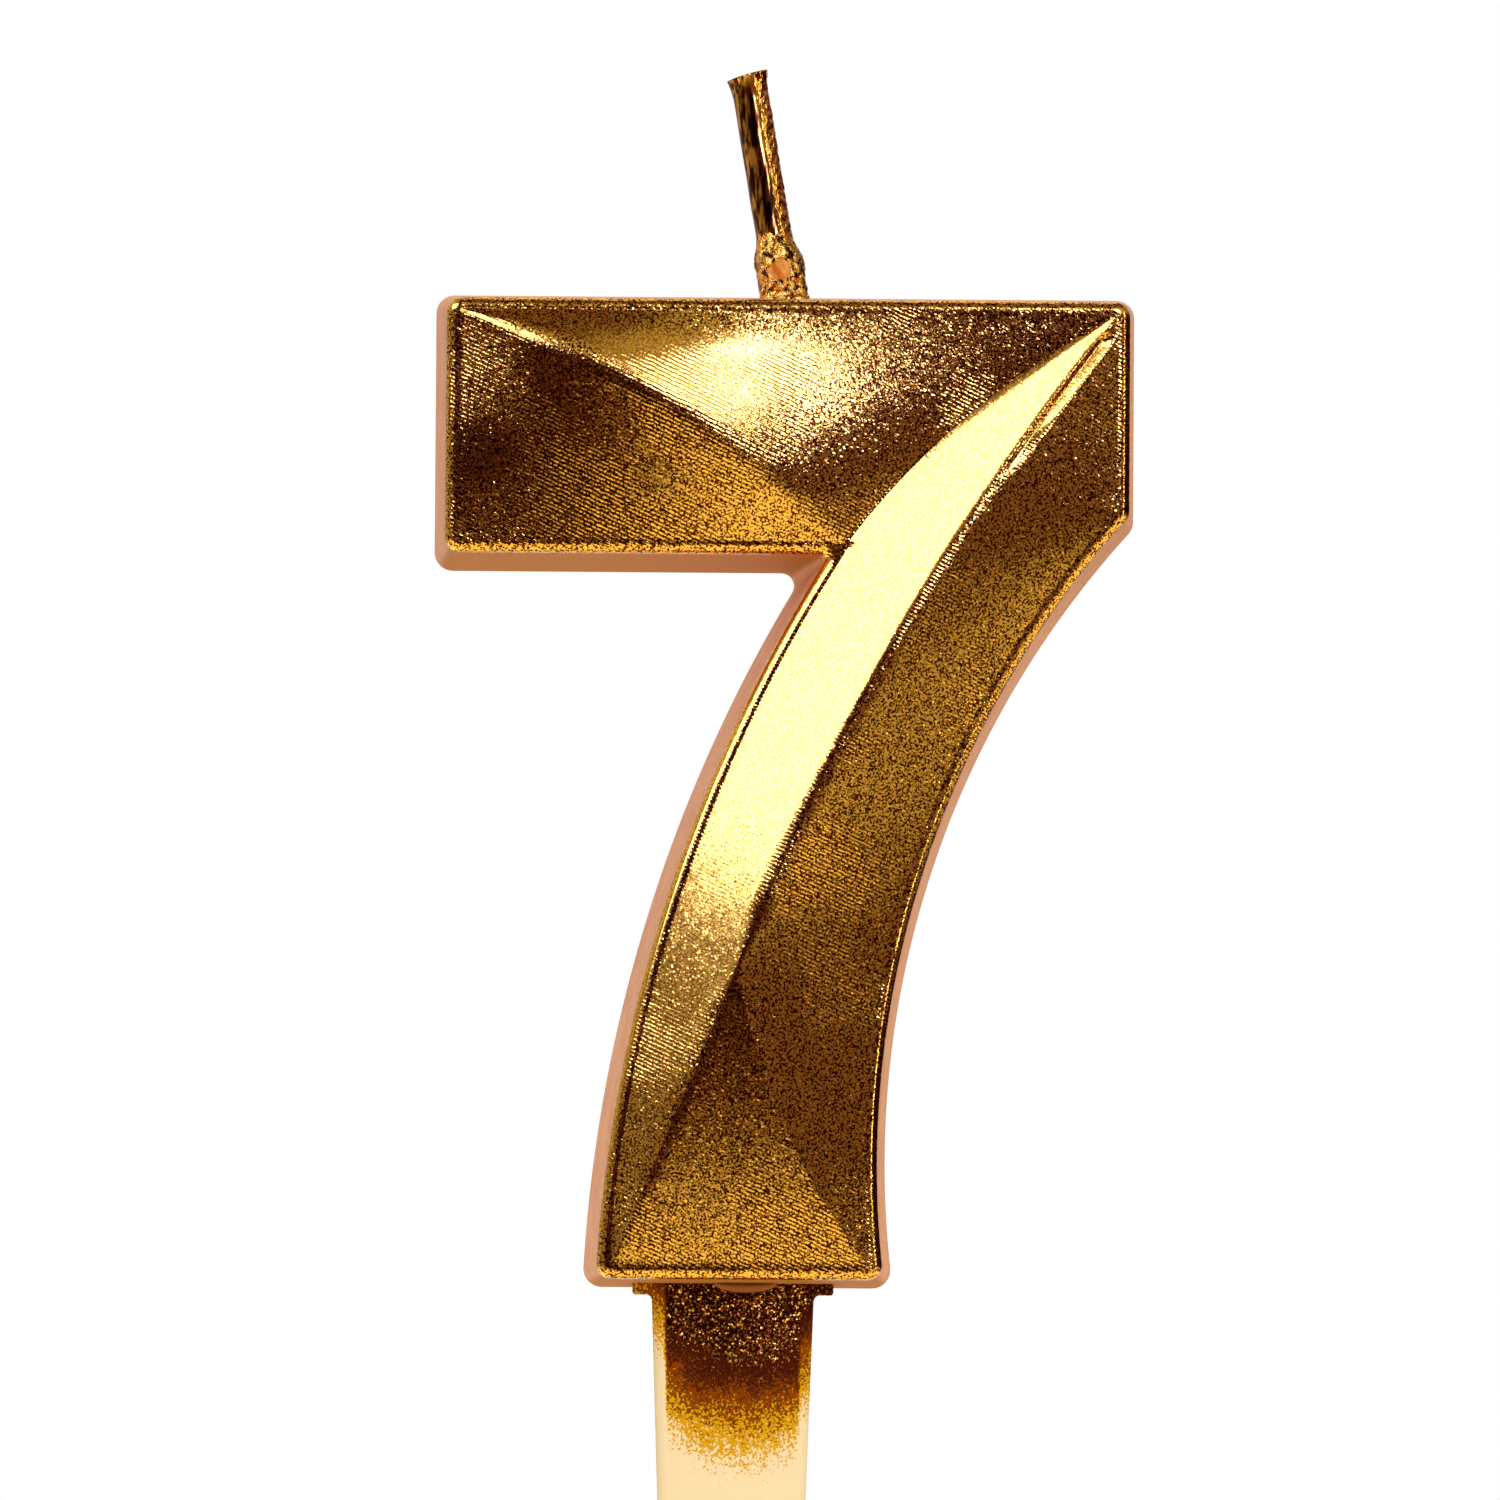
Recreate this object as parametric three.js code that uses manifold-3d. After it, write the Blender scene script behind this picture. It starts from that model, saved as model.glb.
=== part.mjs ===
import * as THREE from 'three';
import { mergeVertices } from 'three/addons/utils/BufferGeometryUtils.js';
import Module from 'manifold-3d';

// Number candle: a faceted figure seven of gilded wax on a flat plastic pick, in millimetres.
// X runs to the reader's right, Y runs from the reader into the candle, and Z runs up.
// The origin is on the pick's centreline and mid-plane, at the underside of its shoulder,
// which is where the top of the cake comes.

// Numeral outline at the front rim, where the drafted side walls start
const NUMERAL_HEIGHT = 68.28;
const ARM_LENGTH = 47.7;
const ARM_HEIGHT = 17.8;
const ARM_REACH = 20.5;
const RIGHT_EDGE_HEIGHT = 15.0;
const FOOT_WIDTH = 20.03;
const FOOT_OFFSET = 0.37;
const INNER_CORNER_INSET = 26.8;
const STEM_LEFT_RADIUS = 104.2;
const STEM_RIGHT_RADIUS = 67.2;

// Numeral depth and edges
const BODY_DEPTH = 10;
const BACK_FACE_Y = 3.6;
const DRAFT_DEGREES = 5.28;
const RIM_FILLET = 0.72;
const RIM_LAND = 0.12;
const CORNER_RADIUS_RIM = 1.05;
const CORNER_RADIUS_CREASE = 0.4;
const CORNER_RADIUS_BACK = 1.3;
const INNER_RADIUS_RIM = 0.35;
const INNER_RADIUS_CREASE = 0.3;
const INNER_RADIUS_BACK = 0.9;

// Relief of the front: where its ridges and valley run, how far each bows, how high it stands,
// and how hollow the facet above the arm's ridge gets towards the valley
const APEX_X = 0;
const APEX_Z = 22.9;
const APEX_HEIGHT = 2.2;
const ARM_RIDGE_HEIGHT = 2.0;
const ARM_RIDGE_BOW = 2.0;
const ARM_TOP_HOLLOW = 0.8;
const VALLEY_BOW = 1.38;
const STEM_RIDGE_RISE = 1.3;
const STEM_RIDGE_BOW = 2.0;
const FOOT_RIDGE_RISE = 0.4;
const FOOT_EDGE_BOW = 1.4;
const RIDGE_SOFTENING = 1.0;
const SOFTENED_SHARE_OF_FACET = 0.45;

// Wick: a cotton core, its wax jacket above the candle, and the wax collar round its foot
const WICK_CORE_RADIUS = 0.7;
const WICK_JACKET_RADIUS = 1.27;
const WICK_FLARE_RADIUS = 1.5;
const WICK_FLARE_LENGTH = 1.6;
const WICK_EXPOSED_LENGTH = 15.9;
const WICK_LEAN_DEGREES = 9.8;
const WICK_CUT_DEGREES = 17;
const WICK_JACKET_CAP = 0.7;
const WICK_EXIT_X = 3.15;
const WICK_Y = -1.4;
const WICK_CORNER_COVER = 3.8;
const WICK_BEND_ABOVE_TONGUE = [14.7, 24.9];
const WICK_STRAIGHT_INSIDE = 5.95;
const WICK_END_ABOVE_TONGUE = 4.5;
const COLLAR_RADIUS = 1.72;
const COLLAR_HEIGHT = 4.7;
const COLLAR_SHOULDER_HEIGHT = 2.4;

// Pick: a flat blade, two ears that stop it at the cake, and a tongue cast into the foot
const PICK_THICKNESS = 2.45;
const BLADE_WIDTH = 11.36;
const BLADE_TIP_WIDTH = 8.9;
const BLADE_LENGTH = 45;
const BLADE_POINT_LENGTH = 9;
const BLADE_POINT_FLAT = 1.2;
const BLADE_BEVEL_WIDTH = 0.75;
const BLADE_BEVEL_DEPTH = 0.6;
const SHOULDER_WIDTH = 14.07;
const SHOULDER_HEIGHT = 1.0;
const SHOULDER_BURIED = 0.3;
const SHOULDER_FILLET = 0.4;
const TONGUE_WIDTH = 8;
const TONGUE_HEIGHT = 12;
const TONGUE_CORNER_RADIUS = 1.5;
const KEY_HOLE_RADIUS = 1.3;
const KEY_HOLE_SPACING = 5;

// Seal: the poured wax between the tongue and its pocket, with the bead squeezed out in front
const SEAL_WALL = 0.6;
const BEAD_LENGTH = 4.5;
const BEAD_OFFSET = 0.87;
const BEAD_DROP = 0.5;

// Clearances between pieces
const SEAT_GAP = 0.3;
const WICK_GAP = 0.2;
const JOINT_GAP = 0.1;

// Segments along each edge of the outline and across each facet. A facet's side that lies on
// the crease is an edge with half a corner at each end, but only the first segment of the inner
// corner is the arm's and the rest is the stem's. The ridges have as many segments as the sides
// opposite them: the arm's as the top and as the underside, and the stem's and foot's together
// as the valley and stem left, and as the right edge and stem right.
const CORNER_SEGMENTS = 4;
const INNER_CORNER_OF_ARM = 1;
const INNER_CORNER_OF_STEM = CORNER_SEGMENTS - INNER_CORNER_OF_ARM;
const TOP_SEGMENTS = 18;
const ARM_RIDGE_SEGMENTS = TOP_SEGMENTS + CORNER_SEGMENTS;
const UNDERSIDE_SEGMENTS = ARM_RIDGE_SEGMENTS - CORNER_SEGMENTS / 2 - INNER_CORNER_OF_ARM;
const VALLEY_SEGMENTS = 11;
const STEM_RIDGE_SEGMENTS = 30;
const FOOT_RIDGE_SEGMENTS = 12;
const RIDGE_SEGMENTS = STEM_RIDGE_SEGMENTS + FOOT_RIDGE_SEGMENTS;
const STEM_LEFT_SEGMENTS =
  RIDGE_SEGMENTS - VALLEY_SEGMENTS - INNER_CORNER_OF_STEM - CORNER_SEGMENTS / 2;
const RIGHT_EDGE_SEGMENTS = 4;
const STEM_RIGHT_SEGMENTS = RIDGE_SEGMENTS - RIGHT_EDGE_SEGMENTS - 2 * CORNER_SEGMENTS;
const FOOT_SEGMENTS = 10;
const ARM_END_SEGMENTS = 6;
const STEM_ACROSS_SEGMENTS = 9;
const FILLET_SEGMENTS = 4;
const FACET_GRADING = 1.5;

// Segments of the other pieces
const WICK_SIDES = 10;
const WICK_CORE_STEPS = 48;
const WICK_JACKET_STEPS = 16;
const COLLAR_STEPS = 12;
const TONGUE_CORNER_SEGMENTS = 6;
const KEY_HOLE_SIDES = 16;
const BEAD_SIDES = 24;
const BEAD_RINGS = 12;

// Fineness of the calculation: passes that find a corner, and the least area and length kept
const MEETING_PASSES = 200;
const LEAST_AREA = 1e-7;
const MERGE_DISTANCE = 1e-4;

const { DEG2RAD, lerp } = THREE.MathUtils;
const plan = (x, z) => new THREE.Vector2(x, z);

// Places that follow from the sizes
const LAND_Y = BACK_FACE_Y - BODY_DEPTH;
const RIM_Y = LAND_Y + RIM_FILLET;
const DRAFT_SLOPE = Math.tan(DRAFT_DEGREES * DEG2RAD);
const CREASE_INSET = RIM_FILLET + RIM_LAND;
const FOOT_Z = SHOULDER_HEIGHT - SHOULDER_BURIED - DRAFT_SLOPE * RIM_Y;
const TOP_Z = FOOT_Z + NUMERAL_HEIGHT;
const TOP_Z_AT_WICK = TOP_Z + DRAFT_SLOPE * (WICK_Y - RIM_Y);
const CORNERS = {
  footLeft: plan(FOOT_OFFSET - FOOT_WIDTH / 2, FOOT_Z),
  footRight: plan(FOOT_OFFSET + FOOT_WIDTH / 2, FOOT_Z),
  rightEnd: plan(ARM_LENGTH - ARM_REACH, TOP_Z - RIGHT_EDGE_HEIGHT),
  topRight: plan(ARM_LENGTH - ARM_REACH, TOP_Z),
  topLeft: plan(-ARM_REACH, TOP_Z),
  armLeft: plan(-ARM_REACH, TOP_Z - ARM_HEIGHT),
  inner: plan(INNER_CORNER_INSET - ARM_REACH, TOP_Z - ARM_HEIGHT),
};

// A straight edge of the outline, which runs anticlockwise as the reader sees it
function straightEdge(from, to, segments) {
  const along = to.clone().sub(from).normalize();
  return { from, to, segments, along, outward: plan(along.y, -along.x) };
}

// An arc of the outline; swell is 1 where it bulges outward and -1 where it curves inward
function arcEdge(from, to, radius, swell, segments) {
  const half = to.clone().sub(from).multiplyScalar(0.5);
  const rise = Math.sqrt(radius ** 2 - half.lengthSq());
  const inward = plan(-half.y, half.x).normalize().multiplyScalar(rise * swell);
  return { from, to, segments, centre: from.clone().add(half).add(inward), radius, swell };
}

const EDGES = [
  straightEdge(CORNERS.footLeft, CORNERS.footRight, FOOT_SEGMENTS),
  arcEdge(CORNERS.footRight, CORNERS.rightEnd, STEM_RIGHT_RADIUS, -1, STEM_RIGHT_SEGMENTS),
  straightEdge(CORNERS.rightEnd, CORNERS.topRight, RIGHT_EDGE_SEGMENTS),
  straightEdge(CORNERS.topRight, CORNERS.topLeft, TOP_SEGMENTS),
  straightEdge(CORNERS.topLeft, CORNERS.armLeft, ARM_END_SEGMENTS),
  straightEdge(CORNERS.armLeft, CORNERS.inner, UNDERSIDE_SEGMENTS),
  arcEdge(CORNERS.inner, CORNERS.footLeft, STEM_LEFT_RADIUS, 1, STEM_LEFT_SEGMENTS),
];
const [, STEM_RIGHT, , , , , STEM_LEFT] = EDGES.keys();
const INNER_CORNER = STEM_LEFT;

// The point of an edge, moved outward by the offset, that is nearest to the given point
function nearestOn(edge, offset, point) {
  if (edge.centre) {
    const away = point.clone().sub(edge.centre).setLength(edge.radius + edge.swell * offset);
    return away.add(edge.centre);
  }
  const base = edge.from.clone().addScaledVector(edge.outward, offset);
  return base.addScaledVector(edge.along, point.clone().sub(base).dot(edge.along));
}

// Where two neighbouring edges meet once both are moved outward, found by stepping to and fro
function meeting(before, after, offset) {
  const point = after.from.clone();
  for (let pass = 0; pass < MEETING_PASSES; pass++) {
    point.copy(nearestOn(before, offset, point));
    point.copy(nearestOn(after, offset, point));
  }
  return point;
}

// The rounded corner before an edge: points on the arc from the edge before to the edge itself
function cornerArc(index, offset, radius) {
  const before = EDGES[(index + EDGES.length - 1) % EDGES.length];
  const after = EDGES[index];
  const side = index === INNER_CORNER ? -1 : 1;
  const centre = meeting(before, after, offset - side * radius);
  const start = nearestOn(before, offset, centre).sub(centre);
  const end = nearestOn(after, offset, centre).sub(centre);
  const turn = Math.atan2(start.cross(end), start.dot(end));
  const points = [];
  for (let step = 0; step <= CORNER_SEGMENTS; step++) {
    const spoke = start.clone().rotateAround(plan(0, 0), (turn * step) / CORNER_SEGMENTS);
    points.push(centre.clone().add(spoke));
  }
  return points;
}

// The points along an edge between two of its points
function alongEdge(edge, from, to) {
  const points = [];
  for (let step = 0; step <= edge.segments; step++) {
    const share = step / edge.segments;
    if (edge.centre) {
      const start = from.clone().sub(edge.centre);
      const end = to.clone().sub(edge.centre);
      const turn = Math.atan2(start.cross(end), start.dot(end));
      const spoke = start.rotateAround(plan(0, 0), turn * share);
      points.push(spoke.add(edge.centre));
    } else {
      points.push(from.clone().lerp(to, share));
    }
  }
  return points;
}

// The whole outline moved outward by the offset and laid at a depth, as arcs and edges
function outlineAt(offset, y, cornerRadius, innerRadius) {
  const lay = (point) => new THREE.Vector3(point.x, y, point.y);
  const arcs = EDGES.map((edge, index) =>
    cornerArc(index, offset, index === INNER_CORNER ? innerRadius : cornerRadius));
  const edges = EDGES.map((edge, index) =>
    alongEdge(edge, arcs[index].at(-1), arcs[(index + 1) % EDGES.length][0]).map(lay));
  return { edges, arcs: arcs.map((arc) => arc.map(lay)) };
}

// The back outline: a straight edge needs no points between its ends, so each goes to one end
function backOutline(offset) {
  const outline = outlineAt(offset, BACK_FACE_Y, CORNER_RADIUS_BACK, INNER_RADIUS_BACK);
  outline.edges = outline.edges.map((points, index) => {
    if (EDGES[index].centre) return points;
    return points.map((none, step) => (step < points.length / 2 ? points[0] : points.at(-1)));
  });
  return outline;
}

// One closed ring of points from the arcs and edges of an outline
function ringOf(outline) {
  return outline.edges.flatMap((edge, index) => [...outline.arcs[index].slice(1, -1), ...edge]);
}

// Points on a circular bow between two points of the front; shares say how far along each lies
function bow(from, to, sagitta, heightAt, shares) {
  const start = plan(from.x, from.z);
  const chord = plan(to.x, to.z).sub(start);
  const across = plan(-chord.y, chord.x).setLength(Math.sign(sagitta));
  const rise = Math.abs(sagitta);
  const radius = (chord.lengthSq() / 4 + rise ** 2) / (2 * rise);
  return shares.map((share) => {
    const aside = (share - 0.5) * chord.length();
    const lift = Math.sqrt(radius ** 2 - aside ** 2) - (radius - rise);
    const point = start.clone().addScaledVector(chord, share).addScaledVector(across, lift);
    return new THREE.Vector3(point.x, LAND_Y - heightAt(share), point.y);
  });
}

const evenShares = (count) => Array.from({ length: count + 1 }, (none, step) => step / count);
const gradedShares = (count) => evenShares(count).map((share) => share ** FACET_GRADING);
const level = () => 0;
const arched = (height) => (share) => 4 * height * share * (1 - share);

// Rows of points that run straight from each point of one line to its partner on another
function rowsBetween(inner, outer, shares) {
  return inner.map((start, index) => shares.map((share) => {
    if (share === 0) return start;
    return share === 1 ? outer[index] : start.clone().lerp(outer[index], share);
  }));
}

// Rounds a ridge off: the rows on both sides of it are lowered by a parabola near the crest
function softenRidge(rowsOnOneSide, rowsOnOther) {
  rowsOnOneSide.forEach((row, index) => {
    const pair = [row, rowsOnOther[index]];
    const crest = row[0];
    const spans = pair.map((side) => Math.hypot(side.at(-1).x - crest.x, side.at(-1).z - crest.z));
    if (Math.min(...spans) < RIM_LAND) return;
    const fall = pair.reduce((sum, side, at) => sum + (side.at(-1).y - crest.y) / spans[at], 0);
    const reach = Math.min(RIDGE_SOFTENING, SOFTENED_SHARE_OF_FACET * Math.min(...spans));
    const drop = (distance) => (fall * Math.max(0, reach - distance) ** 2) / (4 * reach);
    for (const side of pair) {
      for (const point of side.slice(1)) {
        point.y += drop(Math.hypot(point.x - crest.x, point.z - crest.z));
      }
    }
    crest.y += drop(0);
  });
}

// The sides of the facets that lie on the crease: each edge with its part of the corner at
// each end
function creaseSides(crease) {
  const half = CORNER_SEGMENTS / 2;
  const cuts = EDGES.map((edge, index) => (index === INNER_CORNER ? INNER_CORNER_OF_ARM : half));
  return crease.edges.map((edge, index) => {
    const next = (index + 1) % EDGES.length;
    const before = crease.arcs[index].slice(cuts[index], -1);
    return [...before, ...edge, ...crease.arcs[next].slice(1, cuts[next] + 1)];
  });
}

// The facets of the front, as rows of points; their outer ends lie on the crease outline
function frontFacets(crease) {
  const [foot, stemRight, rightEdge, top, armEnd, underside, stemLeft] = creaseSides(crease);
  const innerPoint = underside.at(-1);
  const topLeft = top.at(-1);
  const topRight = top[0];
  const apex = new THREE.Vector3(APEX_X, LAND_Y - APEX_HEIGHT, APEX_Z);
  const across = gradedShares(VALLEY_SEGMENTS);

  const armRidge = bow(topLeft, innerPoint, ARM_RIDGE_BOW, arched(ARM_RIDGE_HEIGHT),
    evenShares(ARM_RIDGE_SEGMENTS));
  armRidge[0] = topLeft;
  armRidge[ARM_RIDGE_SEGMENTS] = innerPoint;
  const valley = bow(innerPoint, topRight, VALLEY_BOW, level, across);
  valley[0] = innerPoint;
  valley[VALLEY_SEGMENTS] = topRight;
  const stemRise = (share) => APEX_HEIGHT * share + arched(STEM_RIDGE_RISE)(share);
  const stemRidge = bow(topRight, apex, -STEM_RIDGE_BOW, stemRise, evenShares(STEM_RIDGE_SEGMENTS));
  stemRidge[0] = topRight;
  const footFall = (share) => APEX_HEIGHT * (1 - share) + arched(FOOT_RIDGE_RISE)(share);
  const footShares = evenShares(FOOT_RIDGE_SEGMENTS);
  const footRidge = footShares.map((share) => {
    const point = apex.clone().lerp(foot[0], share);
    point.y = LAND_Y - footFall(share);
    return point;
  });
  footRidge[0] = stemRidge.at(-1);
  footRidge[FOOT_RIDGE_SEGMENTS] = foot[0];
  const footEdge = bow(apex, foot.at(-1), -FOOT_EDGE_BOW, footFall, footShares);
  footEdge[0] = footRidge[0];
  footEdge[FOOT_RIDGE_SEGMENTS] = foot.at(-1);

  const armLow = rowsBetween(armRidge, underside, gradedShares(armEnd.length - 1));
  armLow[0] = armEnd;
  const armHigh = rowsBetween(armRidge, top.slice().reverse(), across);
  armHigh.forEach((row, index) => {
    const along = index / ARM_RIDGE_SEGMENTS;
    const rise = LAND_Y - row[0].y;
    row.slice(1, -1).forEach((point, place) => {
      const aside = across[place + 1];
      const chordPoint = innerPoint.clone().lerp(topRight, aside);
      point.addScaledVector(valley[place + 1].clone().sub(chordPoint), along);
      point.y = LAND_Y - rise * (1 - aside) ** (1 + ARM_TOP_HOLLOW * along);
    });
  });
  const valleyDown = armHigh.at(-1).slice().reverse();
  const leftLine = [...valleyDown, ...stemLeft.slice(1)];
  const rightLine = [...rightEdge.slice().reverse(), ...stemRight.slice(0, -1).reverse()];
  const stemShares = gradedShares(STEM_ACROSS_SEGMENTS);
  const stemLow = rowsBetween([...stemRidge, ...footRidge.slice(1)], leftLine, stemShares);
  const stemHigh = rowsBetween([...stemRidge, ...footEdge.slice(1)], rightLine, stemShares);
  const footRows = rowsBetween(footRidge, footEdge, evenShares(foot.length - 1));
  footRows[FOOT_RIDGE_SEGMENTS] = foot;

  const footStart = STEM_RIDGE_SEGMENTS + 1;
  softenRidge(armLow.slice(1, -1), armHigh.slice(1, -1));
  softenRidge(stemLow.slice(1, footStart), stemHigh.slice(1, footStart));
  softenRidge(stemLow.slice(footStart, -1), footRows.slice(1, -1));
  return [armLow, armHigh, stemLow, stemHigh, footRows];
}

// Collects triangles, leaving out those with no area
function triangleCollector() {
  const positions = [];
  const add = (...points) => {
    const area = new THREE.Triangle(...points).getArea();
    if (area > LEAST_AREA) positions.push(...points.flatMap((point) => point.toArray()));
  };
  const geometry = () => {
    const built = new THREE.BufferGeometry();
    built.setAttribute('position', new THREE.Float32BufferAttribute(positions, 3));
    return built;
  };
  return { add, geometry };
}

// The solid numeral before anything is let into it
function numeralBlank() {
  const wallOffset = (BACK_FACE_Y - RIM_Y) * DRAFT_SLOPE;
  const outlines = [backOutline(wallOffset)];
  for (let step = 0; step <= FILLET_SEGMENTS; step++) {
    const angle = (Math.PI / 2) * (step / FILLET_SEGMENTS);
    const inset = RIM_FILLET * (1 - Math.cos(angle));
    outlines.push(outlineAt(-inset, RIM_Y - RIM_FILLET * Math.sin(angle),
      CORNER_RADIUS_RIM - inset, INNER_RADIUS_RIM + inset));
  }
  const crease = outlineAt(-CREASE_INSET, LAND_Y, CORNER_RADIUS_CREASE, INNER_RADIUS_CREASE);
  const facets = frontFacets(crease);
  outlines.push(crease);

  const { add, geometry } = triangleCollector();
  const rings = outlines.map(ringOf);
  for (let index = 1; index < rings.length; index++) {
    const behind = rings[index - 1];
    const front = rings[index];
    front.forEach((point, place) => {
      const next = (place + 1) % front.length;
      add(behind[place], behind[next], front[next]);
      add(behind[place], front[next], point);
    });
  }
  const back = rings[0].filter((point, place, ring) => point !== ring[(place + 1) % ring.length]);
  const backPlan = back.map((point) => plan(point.x, point.z));
  for (const [a, b, c] of THREE.ShapeUtils.triangulateShape(backPlan, [])) {
    add(back[a], back[c], back[b]);
  }
  const faceFront = (a, b, c) => {
    const turn = plan(b.x - a.x, b.z - a.z).cross(plan(c.x - a.x, c.z - a.z));
    if (turn > 0) add(a, b, c);
    else add(a, c, b);
  };
  for (const rows of facets) {
    for (let index = 1; index < rows.length; index++) {
      for (let place = 1; place < rows[index].length; place++) {
        const [a, b] = [rows[index - 1][place - 1], rows[index - 1][place]];
        const [c, d] = [rows[index][place - 1], rows[index][place]];
        faceFront(a, b, d);
        faceFront(a, d, c);
      }
    }
  }
  return geometry();
}

// The wick's line: up the middle of the stem, round the inner corner, and out at the top
function wickPath() {
  const onWickPlane = (x, z) => new THREE.Vector3(x, WICK_Y, z);
  const sideAt = (edge, z) =>
    edge.centre.x - Math.sqrt(edge.radius ** 2 - (z - edge.centre.y) ** 2);
  const stemMiddle = (aboveTongue) => {
    const z = SHOULDER_HEIGHT + TONGUE_HEIGHT + aboveTongue;
    return onWickPlane((sideAt(EDGES[STEM_LEFT], z) + sideAt(EDGES[STEM_RIGHT], z)) / 2, z);
  };
  const corner = CORNERS.inner;
  const exit = onWickPlane(WICK_EXIT_X, TOP_Z_AT_WICK);
  const lean = new THREE.Vector3(-Math.sin(WICK_LEAN_DEGREES * DEG2RAD), 0,
    Math.cos(WICK_LEAN_DEGREES * DEG2RAD));
  const hidden = new THREE.CatmullRomCurve3([
    stemMiddle(WICK_END_ABOVE_TONGUE),
    ...WICK_BEND_ABOVE_TONGUE.map(stemMiddle),
    onWickPlane(corner.x + WICK_CORNER_COVER, corner.y),
    exit.clone().addScaledVector(lean, -WICK_STRAIGHT_INSIDE),
    exit,
  ]);
  const hiddenLength = hidden.getLength();
  const shareAt = (station) => Math.max(0, 1 + station / hiddenLength);
  const pointAt = (station) => {
    if (station > 0) return exit.clone().addScaledVector(lean, station);
    return hidden.getPointAt(shareAt(station));
  };
  const tangentAt = (station) => {
    if (station > 0) return lean.clone();
    return hidden.getTangentAt(shareAt(station));
  };
  return { pointAt, tangentAt, hiddenLength, tip: pointAt(WICK_EXPOSED_LENGTH) };
}

const WICK = wickPath();

// A round solid along the wick between two stations, which count from the candle's top
function alongWick(from, to, radiusAt, steps) {
  const rings = [];
  for (let step = 0; step <= steps; step++) {
    const station = lerp(from, to, step / steps);
    const centre = WICK.pointAt(station);
    const tangent = WICK.tangentAt(station);
    const aside = new THREE.Vector3(tangent.z, 0, -tangent.x);
    const ring = [];
    for (let side = 0; side < WICK_SIDES; side++) {
      const angle = (2 * Math.PI * side) / WICK_SIDES;
      const point = centre.clone().addScaledVector(aside, radiusAt(station) * Math.cos(angle));
      point.y += radiusAt(station) * Math.sin(angle);
      ring.push(point);
    }
    rings.push({ centre, ring });
  }
  const { add, geometry } = triangleCollector();
  for (let side = 0; side < WICK_SIDES; side++) {
    const next = (side + 1) % WICK_SIDES;
    add(rings[0].centre, rings[0].ring[next], rings[0].ring[side]);
    add(rings.at(-1).centre, rings.at(-1).ring[side], rings.at(-1).ring[next]);
    for (let step = 1; step <= steps; step++) {
      const low = rings[step - 1].ring;
      const high = rings[step].ring;
      add(low[side], low[next], high[next]);
      add(low[side], high[next], high[side]);
    }
  }
  return geometry();
}

// A flat outline in X and Z, made into a plate of the given thickness centred on the pick
function plate(shape, thickness) {
  const geometry = new THREE.ExtrudeGeometry(shape, {
    depth: thickness,
    bevelEnabled: false,
    curveSegments: TONGUE_CORNER_SEGMENTS,
  });
  geometry.rotateX(Math.PI / 2);
  return geometry.translate(0, thickness / 2, 0);
}

// The outline of the tongue, grown all round except at its foot
function tongueShape(grow, footZ) {
  const half = TONGUE_WIDTH / 2 + grow;
  const top = SHOULDER_HEIGHT + TONGUE_HEIGHT + grow;
  const radius = TONGUE_CORNER_RADIUS + grow;
  const shape = new THREE.Shape();
  shape.moveTo(-half, footZ);
  shape.lineTo(half, footZ);
  shape.lineTo(half, top - radius);
  shape.absarc(half - radius, top - radius, radius, 0, Math.PI / 2);
  shape.lineTo(-half + radius, top);
  shape.absarc(-half + radius, top - radius, radius, Math.PI / 2, Math.PI);
  shape.closePath();
  return shape;
}

// The heights of the two key holes in the tongue, where wax runs through it
function keyHoleHeights() {
  const middle = SHOULDER_HEIGHT + TONGUE_HEIGHT / 2;
  return [middle - KEY_HOLE_SPACING / 2, middle + KEY_HOLE_SPACING / 2];
}

// The shoulder's outline, with a fillet from each ear down to the blade
function shoulderShape() {
  const half = SHOULDER_WIDTH / 2;
  const filletX = BLADE_WIDTH / 2 + SHOULDER_FILLET;
  const shape = new THREE.Shape();
  shape.moveTo(-half, 0);
  shape.lineTo(-filletX, 0);
  shape.absarc(-filletX, -SHOULDER_FILLET, SHOULDER_FILLET, Math.PI / 2, 0, true);
  shape.lineTo(filletX - SHOULDER_FILLET, -SHOULDER_FILLET);
  shape.absarc(filletX, -SHOULDER_FILLET, SHOULDER_FILLET, Math.PI, Math.PI / 2, true);
  shape.lineTo(half, 0);
  shape.lineTo(half, SHOULDER_HEIGHT);
  shape.lineTo(-half, SHOULDER_HEIGHT);
  shape.closePath();
  return shape;
}

// The bevelled blade, lofted through its sections from the shoulder down to the blunt point
function bladeGeometry() {
  const sections = [
    { z: SHOULDER_HEIGHT / 2, width: BLADE_WIDTH },
    { z: 0, width: BLADE_WIDTH },
    { z: BLADE_POINT_LENGTH - BLADE_LENGTH, width: BLADE_TIP_WIDTH },
    { z: -BLADE_LENGTH, width: BLADE_POINT_FLAT },
  ];
  const rings = sections.map(({ z, width }) => {
    const half = width / 2;
    const face = half - Math.min(BLADE_BEVEL_WIDTH, half / 2);
    const front = PICK_THICKNESS / 2;
    const edge = front - BLADE_BEVEL_DEPTH;
    const quarter = [[face, -front], [half, -edge], [half, edge], [face, front]];
    const mirrored = quarter.map(([x, y]) => [-x, -y]);
    return [...quarter, ...mirrored].map(([x, y]) => new THREE.Vector3(x, y, z));
  });
  const { add, geometry } = triangleCollector();
  const count = rings[0].length;
  for (let place = 1; place < count - 1; place++) {
    add(rings[0][0], rings[0][place], rings[0][place + 1]);
    add(rings.at(-1)[0], rings.at(-1)[place + 1], rings.at(-1)[place]);
  }
  for (let index = 1; index < rings.length; index++) {
    for (let place = 0; place < count; place++) {
      const next = (place + 1) % count;
      add(rings[index][place], rings[index][next], rings[index - 1][next]);
      add(rings[index][place], rings[index - 1][next], rings[index - 1][place]);
    }
  }
  return geometry();
}

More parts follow.
